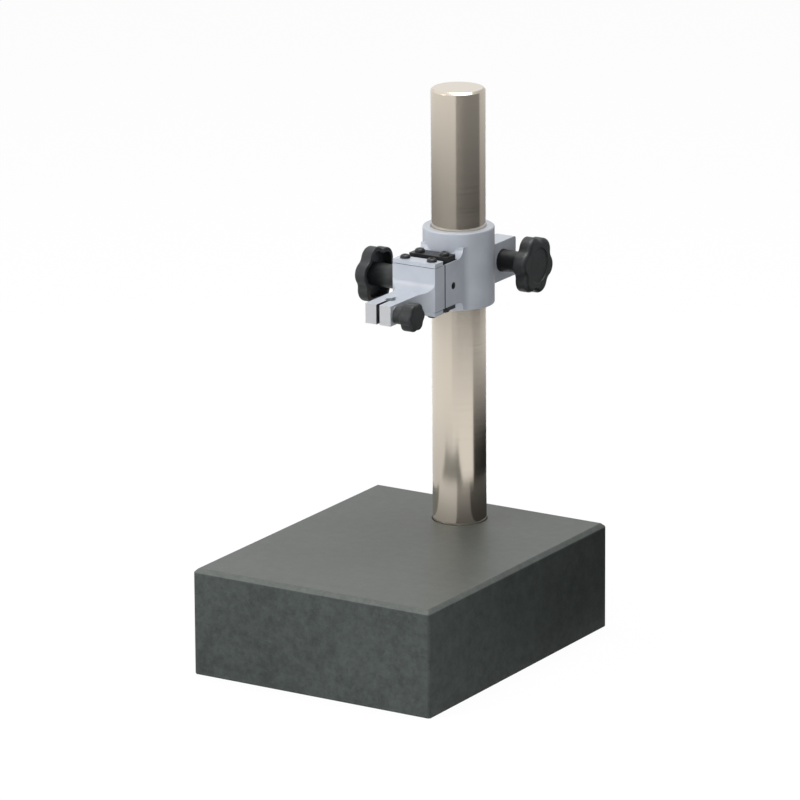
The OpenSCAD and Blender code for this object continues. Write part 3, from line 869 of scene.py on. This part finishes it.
@dataclass
class GraniteBase:
    """The granite block, with the screw and washer that hold the column from below."""

    edge_round: float = 0.8
    small_round: float = 0.2

    def build(self, finishes: Finishes) -> None:
        """Models and dresses the block, the foot screw and its washer.

        Args:
            finishes: The shared materials.
        """
        fitted_copy(
            "granite_base", "granite_block", finishes.granite, "granite", "base",
            self.edge_round, segments=3, angle=25.0,
        )
        for node, name, material, slot in (
            ("column_foot_screw", "foot_screw", finishes.black_steel, "black_steel"),
            ("column_foot_washer", "foot_washer", finishes.steel, "bare_steel"),
        ):
            fitted_copy(node, name, material, slot, "base", self.small_round)


@dataclass
class Column:
    """The ground steel column."""

    edge_round: float = 0.55

    def build(self, finishes: Finishes) -> None:
        """Models and dresses the column.

        Args:
            finishes: The shared materials.
        """
        fitted_copy(
            "column", "column_bar", finishes.column, "ground_steel", "column",
            self.edge_round, segments=3, angle=25.0, shade=20.0,
        )


@dataclass
class StarKnob:
    """A moulded star knob on a plain hub, drawn along +Z and then turned to its side.

    Attributes:
        name: Name of the finished piece.
        node: The frame's node that it stands for.
        body: The body that it moves with.
        side: Which way its face points.
        seat: The node against which its hub ends, and whose axis it shares.
        turn: Angle of the first lobe.
        hub_l: Length of the hub.
        hub_r: Radius of the hub.
        bore_r: Radius of the bore for the shaft or screw.
        bore_l: Depth of that bore.
        reach: Lobe centres to the axis.
        lobe: Radius of a lobe.
        hollow: Depth of the hollows between the lobes.
        head_t: Thickness of the head.
        wall: Wall of a hollow head, or 0 for a solid one.
        roof: Front wall of a hollow head.
        front_round: Rounding of the head's front rim.
        back_round: Rounding of the head's back rim.
        dish_r: Radius of the dish in the front face.
        dish_depth: Depth of that dish.
        dish_rim: Rounding of the dish's rim.
        dish_corner: Rounding at the dish's foot.
        hub_rim: Rounding of the hub's end.
        hub_share: How much of the head's thickness the hub runs into.
        lobes: How many lobes it has.
        lobe_steps: Steps in the arc of a lobe.
        hollow_steps: Steps in the arc of a hollow.
    """

    name: str
    node: str
    body: str
    side: Side
    seat: str
    turn: float
    hub_l: float
    hub_r: float = 8.8
    bore_r: float = 4.0
    bore_l: float = 10.0
    reach: float = 12.6
    lobe: float = 9.4
    hollow: float = 3.0
    head_t: float = 9.8
    wall: float = 3.0
    roof: float = 3.6
    front_round: float = 3.2
    back_round: float = 0.7
    dish_r: float = 13.0
    dish_depth: float = 0.8
    dish_rim: float = 0.5
    dish_corner: float = 0.4
    hub_rim: float = 0.6
    hub_share: float = 0.6
    lobes: int = 6
    lobe_steps: int = 18
    hollow_steps: int = 8

    def outline(self, name: str, height: float, inset: float = 0.0) -> bpy.types.Object:
        """Draws the star's outline as a chain of arcs, and fills it.

        Args:
            name: Name of the new object.
            height: Height of the outline.
            inset: How far the outline is stepped in.

        Returns:
            An object with one face.
        """
        half = math.pi / self.lobes
        chord = self.reach * math.sin(half)
        drop = self.reach + self.lobe - self.hollow - self.reach * math.cos(half)
        hollow_r = (drop ** 2 + chord ** 2 - self.lobe ** 2) / (2 * (self.lobe - drop))
        hollow_reach = self.reach + self.lobe - self.hollow + hollow_r
        spread = math.atan2(
            hollow_reach * math.sin(half), hollow_reach * math.cos(half) - self.reach
        )
        first = math.radians(self.turn)
        start = Vector((self.reach * math.cos(first), self.reach * math.sin(first), height))
        start += (self.lobe - inset) * Vector(
            (math.cos(first - spread), math.sin(first - spread), 0.0)
        )
        bpy.ops.mesh.primitive_plane_add(size=mm(1.0), location=mm(1.0) * start)
        star = newest(name)
        settle(star)
        with editing(star):
            bpy.ops.mesh.select_all(action="SELECT")
            bpy.ops.mesh.merge(type="CENTER")
            for lobe in range(self.lobes):
                at = first + 2 * half * lobe
                self.arc(self.reach, at, height, 2 * spread, self.lobe_steps)
                swing = 2 * (spread - half)
                self.arc(hollow_reach, at + half, height, -swing, self.hollow_steps)
            bpy.ops.mesh.select_all(action="SELECT")
            bpy.ops.mesh.remove_doubles(threshold=mm(0.01))
            bpy.ops.mesh.edge_face_add()
            bpy.ops.mesh.normals_make_consistent(inside=False)
        return star

    @staticmethod
    def arc(reach: float, at: float, height: float, angle: float, steps: int) -> None:
        """Draws the outline on round a centre, by spinning its last corner.

        The spin tool counts its angle the other way round, hence the minus.

        Args:
            reach: The centre's distance from the axis.
            at: Direction of the centre, in radians.
            height: Height of the outline.
            angle: How far the arc turns, in radians.
            steps: Steps in the arc.
        """
        centre = point(reach * math.cos(at), reach * math.sin(at), height)
        bpy.ops.mesh.spin(steps=steps, angle=-angle, center=centre, axis=(0.0, 0.0, 1.0))

    def raise_up(self, star: bpy.types.Object, height: float) -> None:
        """Draws a filled outline up to a solid.

        Args:
            star: The object with the outline.
            height: Height of the solid.
        """
        with editing(star):
            bpy.ops.mesh.select_all(action="SELECT")
            bpy.ops.mesh.extrude_region_move(
                TRANSFORM_OT_translate={"value": (0.0, 0.0, mm(height))}
            )
            bpy.ops.mesh.select_all(action="SELECT")
            bpy.ops.mesh.normals_make_consistent(inside=False)

    def round_rim(
        self, star: bpy.types.Object, height: float, width: float, steps: int
    ) -> None:
        """Rounds the edges of a solid that lie at a height.

        Args:
            star: The solid.
            height: Height of the edges.
            width: Width of the rounding.
            steps: Steps in the rounding.
        """
        with editing(star):
            pick(star, Parts.EDGES, lambda middle, way: abs(middle.z - height) < 0.01)
            bpy.ops.mesh.bevel(offset=mm(width), segments=steps, profile=0.5, affect="EDGES")

    def hub(self) -> bpy.types.Object:
        """Models the hub, from the seat at Z = 0 into the head."""
        length = self.hub_l + self.hub_share * self.head_t
        hub = cylinder(self.name + "_hub", self.hub_r, 0.0, length, 72)
        self.round_rim(hub, 0.0, self.hub_rim, 3)
        return hub

    def dish(self) -> bpy.types.Object:
        """Models the round solid that cuts the shallow dish into the front face."""
        top = self.hub_l + self.head_t
        bottom = top - self.dish_depth
        return cylinder(self.name + "_dish", self.dish_r, bottom, top + PAST, 72)

    def build(self, finishes: Finishes) -> None:
        """Models, turns, places and dresses the knob.

        Args:
            finishes: The shared materials.
        """
        top = self.hub_l + self.head_t
        head = self.outline(self.name, self.hub_l)
        self.raise_up(head, self.head_t)
        self.round_rim(head, top, self.front_round, 6)
        self.round_rim(head, self.hub_l, self.back_round, 3)
        if self.wall > 0:
            pocket = self.outline(self.name + "_pocket", self.hub_l - PAST, self.wall)
            self.raise_up(pocket, self.head_t - self.roof + PAST)
            merge_with(head, pocket, Merge.CUT)
        merge_with(head, self.hub(), Merge.JOIN)
        bore = cylinder(self.name + "_bore", self.bore_r, -PAST, self.bore_l, 48)
        merge_with(head, bore, Merge.CUT)
        if self.dish_r > 0:
            merge_with(head, self.dish(), Merge.CUT)
            self.round_rim(head, top, self.dish_rim, 3)
            self.round_rim(head, top - self.dish_depth, self.dish_corner, 2)
        low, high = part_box(self.seat)
        face = low.x if self.side is Side.LEFT else high.x
        head.rotation_euler = (0.0, self.side.value * math.pi / 2, 0.0)
        head.location = (face, (low.y + high.y) / 2, (low.z + high.z) / 2)
        settle(head)
        smooth(head)
        dress(head, finishes.knob, "black_plastic", self.body, [self.node])


@dataclass
class ButtonScrew:
    """Button-head socket screw, modelled once along Z and then copied to each place."""

    head_r: float = 3.8
    head_h: float = 2.6
    crown: float = 2.132
    shank_r: float = 2.0
    tip_chamfer: float = 0.4
    socket: float = 2.5
    socket_depth: float = 1.25
    edge_round: float = 0.08

    def model(self, name: str, grip: float) -> bpy.types.Object:
        """Models one screw with its head's seat at Z = 0 and its shank below.

        Args:
            name: Name of the new object.
            grip: Length of the shank.

        Returns:
            The screw.
        """
        screw = cylinder(name, self.head_r, 0.0, self.head_h, 48)
        with editing(screw):
            pick(screw, Parts.FACES, lambda middle, way: way.z < -0.9)
            bpy.ops.mesh.inset(thickness=mm(self.head_r - self.shank_r))
            bpy.ops.mesh.extrude_region_move(
                TRANSFORM_OT_translate={"value": (0.0, 0.0, mm(-grip))}
            )
            pick(screw, Parts.EDGES, lambda middle, way: abs(middle.z - self.head_h) < 0.01)
            bpy.ops.mesh.bevel(offset=mm(self.crown), segments=6, affect="EDGES")
            pick(screw, Parts.EDGES, lambda middle, way: abs(middle.z + grip) < 0.01)
            bpy.ops.mesh.bevel(offset=mm(self.tip_chamfer), segments=1, affect="EDGES")
        corner_r = self.socket / 2 / math.cos(math.pi / 6)
        bottom = self.head_h - self.socket_depth
        key = cylinder(name + "_socket", corner_r, bottom, bottom + 2 * self.socket_depth, 6)
        merge_with(screw, key, Merge.CUT)
        soften(screw, self.edge_round, segments=1, angle=40.0)
        smooth(screw, 30.0)
        return screw

    def set_out(
        self, finishes: Finishes, name: str, node: str, body: str, grip: float,
        places: list[tuple[float, float, float, int]],
    ) -> None:
        """Copies the screw to its places and dresses each copy.

        Args:
            finishes: The shared materials.
            name: Start of each copy's name.
            node: The frame's node that the copies stand for.
            body: The body that they move with.
            grip: Length of the shank.
            places: X, Y and Z of each head's seat, and 1 for a head on top or -1 below.
        """
        pattern = self.model(name, grip)
        for number, (x, y, z, up) in enumerate(places, start=1):
            screw = bpy.data.objects.new(f"{name}_{number}", pattern.data.copy())
            bpy.context.collection.objects.link(screw)
            screw.rotation_euler = (0.0 if up > 0 else math.pi, 0.0, 0.4 * number)
            screw.location = point(x, y, z)
            settle(screw)
            dress(screw, finishes.black_steel, "black_steel", body, [node])
        bpy.data.objects.remove(pattern, do_unlink=True)


@dataclass
class SpringGuide:
    """The two leaf springs with the bars, plates and screws that clamp them."""

    bar_screw_x: float = 10.5
    bar_screw_y: float = 44.1
    plate_screw_x: float = 11.3
    plate_screw_y: float = 25.2
    screw_grip: float = 5.6
    spring_t: float = 0.4
    bend_cuts: int = 7
    bar_round: float = 0.35
    plate_round: float = 0.3
    screw: ButtonScrew = field(default_factory=ButtonScrew)

    def build(self, finishes: Finishes) -> None:
        """Models and dresses every piece of the guide.

        Args:
            finishes: The shared materials.
        """
        for level in ("upper", "lower"):
            self.spring(finishes, level)
            fitted_copy(
                f"{level}_spring_bar", f"{level}_clamp_bar", finishes.black_steel,
                "black_steel", "bracket", self.bar_round,
            )
            fitted_copy(
                f"{level}_spring_plate", f"{level}_clamp_plate", finishes.enamel,
                "grey_enamel", "arm", self.plate_round,
            )
        self.screws(finishes, "bracket", self.bar_screw_x, self.bar_screw_y, "spring_bar")
        self.screws(finishes, "arm", self.plate_screw_x, self.plate_screw_y, "spring_plate")

    def spring(self, finishes: Finishes, level: str) -> None:
        """Cuts a spring across its free length, so that it can bend there, and gives it its
        material.

        Args:
            finishes: The shared materials.
            level: Which of the two springs: upper or lower.
        """
        spring = copy_of(f"{level}_leaf_spring", f"{level}_spring_leaf")
        low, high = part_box(f"{level}_leaf_spring")
        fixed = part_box(f"{level}_spring_bar")[0].y
        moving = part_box(f"{level}_spring_plate")[1].y
        with editing(spring):
            for cut in range(self.bend_cuts + 1):
                y = moving + (fixed - moving) * cut / self.bend_cuts
                bpy.ops.mesh.select_all(action="SELECT")
                bpy.ops.mesh.bisect(plane_co=(0.0, y, low.z), plane_no=(0.0, 1.0, 0.0))
        smooth(spring)
        spring.data.materials.clear()
        spring.data.materials.append(finishes.spring)
        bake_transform(spring)
        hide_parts(f"{level}_leaf_spring")
        log.info("%s: bends between bracket and arm", spring.name)

    def screws(self, finishes: Finishes, body: str, x: float, y: float, clamp: str) -> None:
        """Sets the four screws of one body on the clamps that they hold.

        Args:
            finishes: The shared materials.
            body: The body that the screws move with.
            x: Their distance from the middle.
            y: Y of their axes.
            clamp: End of the name of the nodes that they hold.
        """
        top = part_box(f"upper_{clamp}")[1].z * 1000.0
        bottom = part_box(f"lower_{clamp}")[0].z * 1000.0
        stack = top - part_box(f"upper_{clamp}")[0].z * 1000.0 + self.spring_t
        places = [(side * x, y, z, up) for z, up in ((top, 1), (bottom, -1)) for side in (-1, 1)]
        self.screw.set_out(
            finishes, f"{body}_button_screw", f"{body}_spring_screws", body,
            stack + self.screw_grip, places,
        )


@dataclass
class Bracket:
    """The bracket casting with its bush, keeper screw and clamp washer."""

    casting_round: float = 0.45
    small_round: float = 0.12

    def build(self, finishes: Finishes) -> None:
        """Models and dresses the bracket's own pieces.

        Args:
            finishes: The shared materials.
        """
        fitted_copy(
            "bracket_body", "bracket_casting", finishes.enamel_bracket, "grey_enamel",
            "bracket", self.casting_round, segments=3, angle=40.0,
        )
        for node, name, material, slot in (
            ("eccentric_bush", "drive_bush", finishes.bronze, "bronze"),
            ("eccentric_keeper_screw", "keeper_screw", finishes.black_steel, "black_steel"),
            ("clamp_washer", "clamp_knob_washer", finishes.black_sleeve, "black_steel"),
        ):
            fitted_copy(node, name, material, slot, "bracket", self.small_round)


@dataclass
class Arm:
    """The arm casting with its washer for the stem clamp."""

    casting_round: float = 0.4
    small_round: float = 0.12

    def build(self, finishes: Finishes) -> None:
        """Models and dresses the arm's own pieces.

        Args:
            finishes: The shared materials.
        """
        fitted_copy(
            "arm_body", "arm_casting", finishes.enamel_arm, "grey_enamel", "arm",
            self.casting_round, segments=3, angle=40.0,
        )
        fitted_copy(
            "stem_washer", "stem_knob_washer", finishes.washer, "bare_steel", "arm",
            self.small_round,
        )


@dataclass
class FineDrive:
    """The fine adjustment: knob, eccentric shaft, grub screw and thrust washer."""

    hub_l: float = 25.4
    shaft_r: float = 4.01
    turn: float = -17.0
    small_round: float = 0.1

    def build(self, finishes: Finishes) -> None:
        """Models and dresses the drive.

        Args:
            finishes: The shared materials.
        """
        StarKnob(
            name="fine_star_knob", node="fine_knob", body="fine_drive", side=Side.LEFT,
            seat="thrust_washer", turn=self.turn, hub_l=self.hub_l, bore_r=self.shaft_r,
            bore_l=self.hub_l,
        ).build(finishes)
        for node, name, material, slot in (
            ("eccentric_shaft", "drive_shaft", finishes.steel, "bare_steel"),
            ("fine_knob_grub_screw", "knob_grub_screw", finishes.black_steel, "black_steel"),
            ("thrust_washer", "knob_thrust_washer", finishes.washer, "bare_steel"),
        ):
            fitted_copy(node, name, material, slot, "fine_drive", self.small_round)


@dataclass
class ColumnClamp:
    """The column clamp: knob, spacer and screw."""

    hub_l: float = 6.6
    screw_r: float = 4.01
    screw_past_hub: float = 2.0
    turn: float = 17.0
    small_round: float = 0.3

    def build(self, finishes: Finishes) -> None:
        """Models and dresses the column clamp.

        Args:
            finishes: The shared materials.
        """
        StarKnob(
            name="clamp_star_knob", node="clamp_knob", body="column_clamp", side=Side.RIGHT,
            seat="clamp_spacer", turn=self.turn, hub_l=self.hub_l, bore_r=self.screw_r,
            bore_l=self.hub_l + self.screw_past_hub,
        ).build(finishes)
        for node, name, material, slot in (
            ("clamp_spacer", "clamp_spacer_sleeve", finishes.black_sleeve, "black_steel"),
            ("clamp_screw", "clamp_stud", finishes.steel, "bare_steel"),
        ):
            fitted_copy(node, name, material, slot, "column_clamp", self.small_round)


@dataclass
class StemClamp:
    """The stem clamp: small star knob and its screw."""

    neck_l: float = 7.4
    neck_r: float = 6.5
    screw_r: float = 3.01
    screw_past_neck: float = 3.0
    turn: float = 31.0
    small_round: float = 0.2

    def build(self, finishes: Finishes) -> None:
        """Models and dresses the stem clamp.

        Args:
            finishes: The shared materials.
        """
        StarKnob(
            name="stem_star_knob", node="stem_knob", body="stem_clamp", side=Side.RIGHT,
            seat="stem_washer", turn=self.turn, hub_l=self.neck_l, hub_r=self.neck_r,
            bore_r=self.screw_r, bore_l=self.neck_l + self.screw_past_neck, reach=5.6,
            lobe=5.1, hollow=1.1, head_t=10.4, wall=0.0, front_round=2.2, back_round=1.6,
            dish_r=0.0,
        ).build(finishes)
        fitted_copy(
            "stem_screw", "stem_stud", finishes.steel, "bare_steel", "stem_clamp",
            self.small_round,
        )


class Card(Enum):
    """The plain neutral tones that studio cards come in."""

    WHITE = "F0F0F0"
    PALE = "D0D0D0"
    GREY = "909090"
    DARK = "505050"
    BLACK = "202020"


@dataclass(frozen=True)
class Flag:
    """A curved card round the column that gives bright metal one band of its reflections.

    Attributes:
        name: Name of the flag.
        first: Where it starts, in degrees to the right of the camera.
        last: Where it ends.
        near: Its tone by the inner or lower rim.
        far: Its tone by the outer or upper rim.
        fade: Radii, or heights on an upright flag, between which near turns to far.
        profile: Radius and height of each corner of its profile.
        one_sided: Whether it shows from above only, so that stone below it mirrors the room.
    """

    name: str
    first: float
    last: float
    near: Card
    far: Card
    fade: tuple[float, float]
    profile: tuple[tuple[float, float], ...]
    one_sided: bool = False

    @property
    def upright(self) -> bool:
        """Tells whether the flag stands up or lies flat."""
        return self.profile[0][0] == self.profile[-1][0]


@dataclass
class Studio:
    """The pale floor, the soft lights, the flags and the camera.

    Attributes:
        azimuth: Degrees that the camera stands to the right of the front.
        elevation: Degrees that it looks down.
        roll: Degrees that it is turned about its own axis.
        distance: Camera to target.
        target: The point that the framing starts from.
        shift_right: Step of the camera to its right.
        shift_up: Step of the camera upwards.
        lens: Focal length for a sensor 36 mm wide.
        floor_size: Width of the floor.
        floor_white: How much of the floor's look to the camera is plain white.
        painted_shadow_x: X between which a painted shadow darkens the floor to the light that it
            throws back.
        painted_shadow_y: Y between which it does.
        dim_way: Direction in which the surroundings are dimmer.
        soft_light: Strength of the surroundings' soft light, opposite that direction and in it.
        mirrored: The same for what metal and glass mirror.
        lamp_aim: The point that the soft boxes look at.
        column_y: Y of the column, which the flags stand round.
    """

    azimuth: float = 31.89
    elevation: float = 15.88
    roll: float = -0.37
    distance: float = 4579.0
    target: tuple[float, float, float] = (0.0, 0.0, 150.0)
    shift_right: float = -1.0
    shift_up: float = 38.5
    lens: float = 283.9
    floor_size: float = 30000.0
    floor_white: float = 0.94
    painted_shadow_x: tuple[float, float] = (85.0, 135.0)
    painted_shadow_y: tuple[float, float] = (-170.0, 80.0)
    dim_way: tuple[float, float, float] = (0.743, 0.669, 0.0)
    soft_light: tuple[float, float] = (0.60, 0.06)
    mirrored: tuple[float, float] = (1.0, 0.45)
    lamp_aim: tuple[float, float, float] = (0.0, 0.0, 180.0)
    column_y: float = 81.0

    def build(self) -> None:
        """Makes the whole studio."""
        self.camera()
        self.floor()
        self.world()
        self.lights()
        self.flags()
        bpy.context.scene.view_settings.view_transform = "Standard"

    def camera(self) -> None:
        """Places the camera at the photograph's viewing angle."""
        turn = math.radians(self.azimuth)
        tilt = math.radians(self.elevation)
        roll = math.radians(self.roll)
        right = Vector((math.cos(turn), math.sin(turn), 0.0))
        back = Vector((
            math.sin(turn) * math.cos(tilt), -math.cos(turn) * math.cos(tilt), math.sin(tilt),
        ))
        up = back.cross(right)
        view_right = math.cos(roll) * right + math.sin(roll) * up
        view_up = math.cos(roll) * up - math.sin(roll) * right
        data = bpy.data.cameras.new("camera")
        data.lens = self.lens
        data.sensor_width = 36.0
        data.clip_end = 100.0
        camera = bpy.data.objects.new("camera", data)
        bpy.context.collection.objects.link(camera)
        place = point(*self.target) + mm(self.shift_right) * view_right
        place += mm(self.shift_up) * view_up + mm(self.distance) * back
        turned = Matrix((view_right, view_up, back)).transposed().to_4x4()
        camera.matrix_world = Matrix.Translation(place) @ turned
        bpy.context.scene.camera = camera

    def floor(self) -> None:
        """Makes a plain pale floor that shows white and keeps the stand's shadow.

        To the light that it throws back, its right rear is dark: a painted shadow, which the
        granite's right side mirrors.
        """
        bpy.ops.mesh.primitive_plane_add(size=mm(self.floor_size), location=(0.0, 0.0, 0.0))
        floor = newest("floor")
        material = bpy.data.materials.new("floor_pale")
        material.use_nodes = True
        tree = material.node_tree
        tree.nodes.clear()
        place = add_node(tree, "ShaderNodeTexCoord").outputs["Object"]
        place_of = add_node(tree, "ShaderNodeSeparateXYZ", {"Vector": place})
        beside, behind = (
            add_node(tree, "ShaderNodeMapRange", {
                "Value": place_of.outputs[axis], "From Min": mm(low), "From Max": mm(high),
            }).outputs["Result"]
            for axis, (low, high) in (("X", self.painted_shadow_x), ("Y", self.painted_shadow_y))
        )
        # Painted shadow: a dark patch at the floor's right rear, seen only by light that the
        # floor throws back
        painted_shadow = add_node(tree, "ShaderNodeMath", {0: beside, 1: behind}, operation="MULTIPLY")
        seen = add_node(tree, "ShaderNodeLightPath")
        unseen = add_node(tree, "ShaderNodeMath", {
            0: 1.0, 1: seen.outputs["Is Camera Ray"],
        }, operation="SUBTRACT")
        dimmed = add_node(tree, "ShaderNodeMath", {
            0: painted_shadow.outputs[0], 1: unseen.outputs[0],
        }, operation="MULTIPLY")
        # The painted shadow's dark tone
        colour = add_node(tree, "ShaderNodeMix", {
            0: dimmed.outputs[0], MIX_A: srgb("FAFAFA"), MIX_B: srgb("1C1D1C"),
        }, data_type="RGBA")
        paper = add_node(tree, "ShaderNodeBsdfDiffuse", {"Color": colour.outputs[MIX_RESULT]})
        white = add_node(tree, "ShaderNodeEmission", {"Color": srgb("FFFFFF"), "Strength": 1.0})
        share = add_node(tree, "ShaderNodeMath", {
            0: seen.outputs["Is Camera Ray"], 1: self.floor_white,
        }, operation="MULTIPLY")
        both = add_node(tree, "ShaderNodeMixShader", {
            0: share.outputs[0], 1: paper.outputs["BSDF"], 2: white.outputs["Emission"],
        })
        add_node(tree, "ShaderNodeOutputMaterial", {"Surface": both.outputs["Shader"]})
        floor.data.materials.append(material)

    def world(self) -> None:
        """Makes the soft white surroundings, which are dimmer to the right rear."""
        world = bpy.data.worlds.new("studio_air")
        bpy.context.scene.world = world
        world.use_nodes = True
        tree = world.node_tree
        tree.nodes.clear()
        path = add_node(tree, "ShaderNodeLightPath")
        direct = add_node(tree, "ShaderNodeMath", {
            0: path.outputs["Is Camera Ray"], 1: path.outputs["Is Glossy Ray"],
        }, operation="MAXIMUM")
        shown = add_node(tree, "ShaderNodeMath", {
            0: direct.outputs[0], 1: path.outputs["Is Transmission Ray"],
        }, operation="MAXIMUM")
        way = add_node(tree, "ShaderNodeTexCoord").outputs["Generated"]
        aside = add_node(tree, "ShaderNodeVectorMath", {
            0: way, 1: self.dim_way,
        }, operation="DOT_PRODUCT")
        soft = add_node(tree, "ShaderNodeMapRange", {
            "Value": aside.outputs["Value"], "From Min": -1.0, "From Max": 1.0,
            "To Min": self.soft_light[0], "To Max": self.soft_light[1],
        })
        mirrored = add_node(tree, "ShaderNodeMapRange", {
            "Value": aside.outputs["Value"], "From Min": 0.05, "From Max": 0.95,
            "To Min": self.mirrored[0], "To Max": self.mirrored[1],
        })
        bright = add_node(tree, "ShaderNodeMix", {
            0: path.outputs["Is Glossy Ray"], 2: 1.0, 3: mirrored.outputs["Result"],
        }, data_type="FLOAT")
        strength = add_node(tree, "ShaderNodeMix", {
            0: shown.outputs[0], 2: soft.outputs["Result"], 3: bright.outputs[0],
        }, data_type="FLOAT")
        air = add_node(tree, "ShaderNodeBackground", {
            "Color": srgb("FFFFFF"), "Strength": strength.outputs[0],
        })
        add_node(tree, "ShaderNodeOutputWorld", {"Surface": air.outputs["Background"]})

    def lamp(
        self, name: str, place: tuple[float, float, float], size: float, power: float
    ) -> None:
        """Adds a square soft box that looks at the stand.

        Args:
            name: Its name.
            place: Its place.
            size: Its width.
            power: Its power in watts.
        """
        data = bpy.data.lights.new(name, "AREA")
        data.shape = "SQUARE"
        data.size = mm(size)
        data.energy = power
        lamp = bpy.data.objects.new(name, data)
        bpy.context.collection.objects.link(lamp)
        lamp.location = point(*place)
        way = point(*self.lamp_aim) - lamp.location
        lamp.rotation_euler = way.to_track_quat("-Z", "Y").to_euler()

    def lights(self) -> None:
        """Adds the overhead soft box, the key from the front left and a small right one."""
        self.lamp("soft_box_above", (100.0, 250.0, 2300.0), 1500.0, 42.0)
        self.lamp("soft_box_left", (-1500.0, -1900.0, 1100.0), 1000.0, 37.0)
        self.lamp("soft_box_right", (560.0, -800.0, 420.0), 260.0, 2.6)

    def flag(self, flag: Flag) -> None:
        """Stands a curved flag round the column that only reflections show.

        Args:
            flag: The flag.
        """
        begin = math.radians(self.azimuth - 90.0 + flag.first)
        corners = [point(r * math.cos(begin), r * math.sin(begin), z) for r, z in flag.profile]
        bpy.ops.mesh.primitive_plane_add(size=mm(1.0), location=(0.0, 0.0, 0.0))
        sheet = newest(flag.name)
        with editing(sheet):
            bpy.ops.mesh.select_all(action="SELECT")
            bpy.ops.mesh.merge(type="CENTER")
            bpy.ops.transform.translate(value=corners[0])
            for here, there in zip(corners, corners[1:]):
                bpy.ops.mesh.extrude_region_move(
                    TRANSFORM_OT_translate={"value": there - here}
                )
            bpy.ops.mesh.select_all(action="SELECT")
            bpy.ops.mesh.spin(
                steps=24, angle=math.radians(flag.first - flag.last), center=(0.0, 0.0, 0.0),
                axis=(0.0, 0.0, 1.0),
            )
            if pick(sheet, Parts.FACES, lambda middle, way: way.z < -0.5):
                bpy.ops.mesh.flip_normals()
        sheet.location = point(0.0, self.column_y, 0.0)
        sheet.data.materials.append(self.glow(flag))
        sheet.visible_camera = False
        sheet.visible_diffuse = False
        sheet.visible_shadow = False
        sheet.visible_transmission = False

    @staticmethod
    def glow(flag: Flag) -> bpy.types.Material:
        """Makes a flag's glow, which turns from its near tone to its far one.

        Args:
            flag: The flag.

        Returns:
            The flag's material.
        """
        material = bpy.data.materials.new(flag.name)
        material.use_nodes = True
        tree = material.node_tree
        tree.nodes.clear()
        place = add_node(tree, "ShaderNodeTexCoord").outputs["Object"]
        if flag.upright:
            height = add_node(tree, "ShaderNodeSeparateXYZ", {"Vector": place})
            across = height.outputs["Z"]
        else:
            radius = add_node(tree, "ShaderNodeVectorMath", {0: place}, operation="LENGTH")
            across = radius.outputs["Value"]
        outward = add_node(tree, "ShaderNodeMapRange", {
            "Value": across, "From Min": mm(flag.fade[0]), "From Max": mm(flag.fade[1]),
        })
        colour = add_node(tree, "ShaderNodeMix", {
            0: outward.outputs["Result"], MIX_A: srgb(flag.near.value),
            MIX_B: srgb(flag.far.value),
        }, data_type="RGBA")
        light = add_node(tree, "ShaderNodeEmission", {
            "Color": colour.outputs[MIX_RESULT], "Strength": 1.0,
        })
        shown = light.outputs["Emission"]
        if flag.one_sided:
            back = add_node(tree, "ShaderNodeNewGeometry").outputs["Backfacing"]
            clear = add_node(tree, "ShaderNodeBsdfTransparent")
            shown = add_node(tree, "ShaderNodeMixShader", {
                0: back, 1: shown, 2: clear.outputs["BSDF"],
            }).outputs["Shader"]
        add_node(tree, "ShaderNodeOutputMaterial", {"Surface": shown})
        return material

    def flags(self) -> None:
        """Stands the flags that give the bright metal its bands."""
        wall = ((900.0, 3.0), (900.0, 800.0))
        carpet = ((215.0, 3.0), (890.0, 3.0))
        stone = ((21.5, 80.8), (130.0, 80.8))
        high = (100.0, 200.0)
        left_fade = (80.0, 130.0)
        right_fade = (60.0, 130.0)
        for flag in (
            Flag("flag_stone_left", -90.0, -10.0, Card.GREY, Card.PALE, left_fade, stone, True),
            Flag("flag_stone_front", -10.0, 40.0, Card.BLACK, Card.GREY, right_fade, stone, True),
            Flag("flag_stone_right", 40.0, 150.0, Card.BLACK, Card.DARK, right_fade, stone, True),
            Flag("flag_upper_left", -160.0, -10.0, Card.GREY, Card.WHITE, high, wall),
            Flag("flag_upper_right", -10.0, 100.0, Card.DARK, Card.GREY, high, wall),
            Flag("flag_upper_end", 100.0, 160.0, Card.GREY, Card.PALE, high, wall),
            Flag("flag_lower_left", -160.0, -30.0, Card.PALE, Card.WHITE, (400.0, 600.0), carpet),
            Flag("flag_lower_front", -30.0, 60.0, Card.WHITE, Card.PALE, (600.0, 800.0), carpet),
            Flag("flag_lower_right", 60.0, 160.0, Card.BLACK, Card.PALE, (500.0, 800.0), carpet),
        ):
            self.flag(flag)


def main() -> None:
    """Builds the studio and every sub-assembly in order."""
    logging.basicConfig(level=logging.INFO, format="%(message)s")
    Studio().build()
    finishes = Finishes.make()
    for assembly in (
        GraniteBase(), Column(), Bracket(), SpringGuide(), Arm(), FineDrive(), ColumnClamp(),
        StemClamp(),
    ):
        log.info("building %s", type(assembly).__name__)
        assembly.build(finishes)


if __name__ == "__main__":
    main()
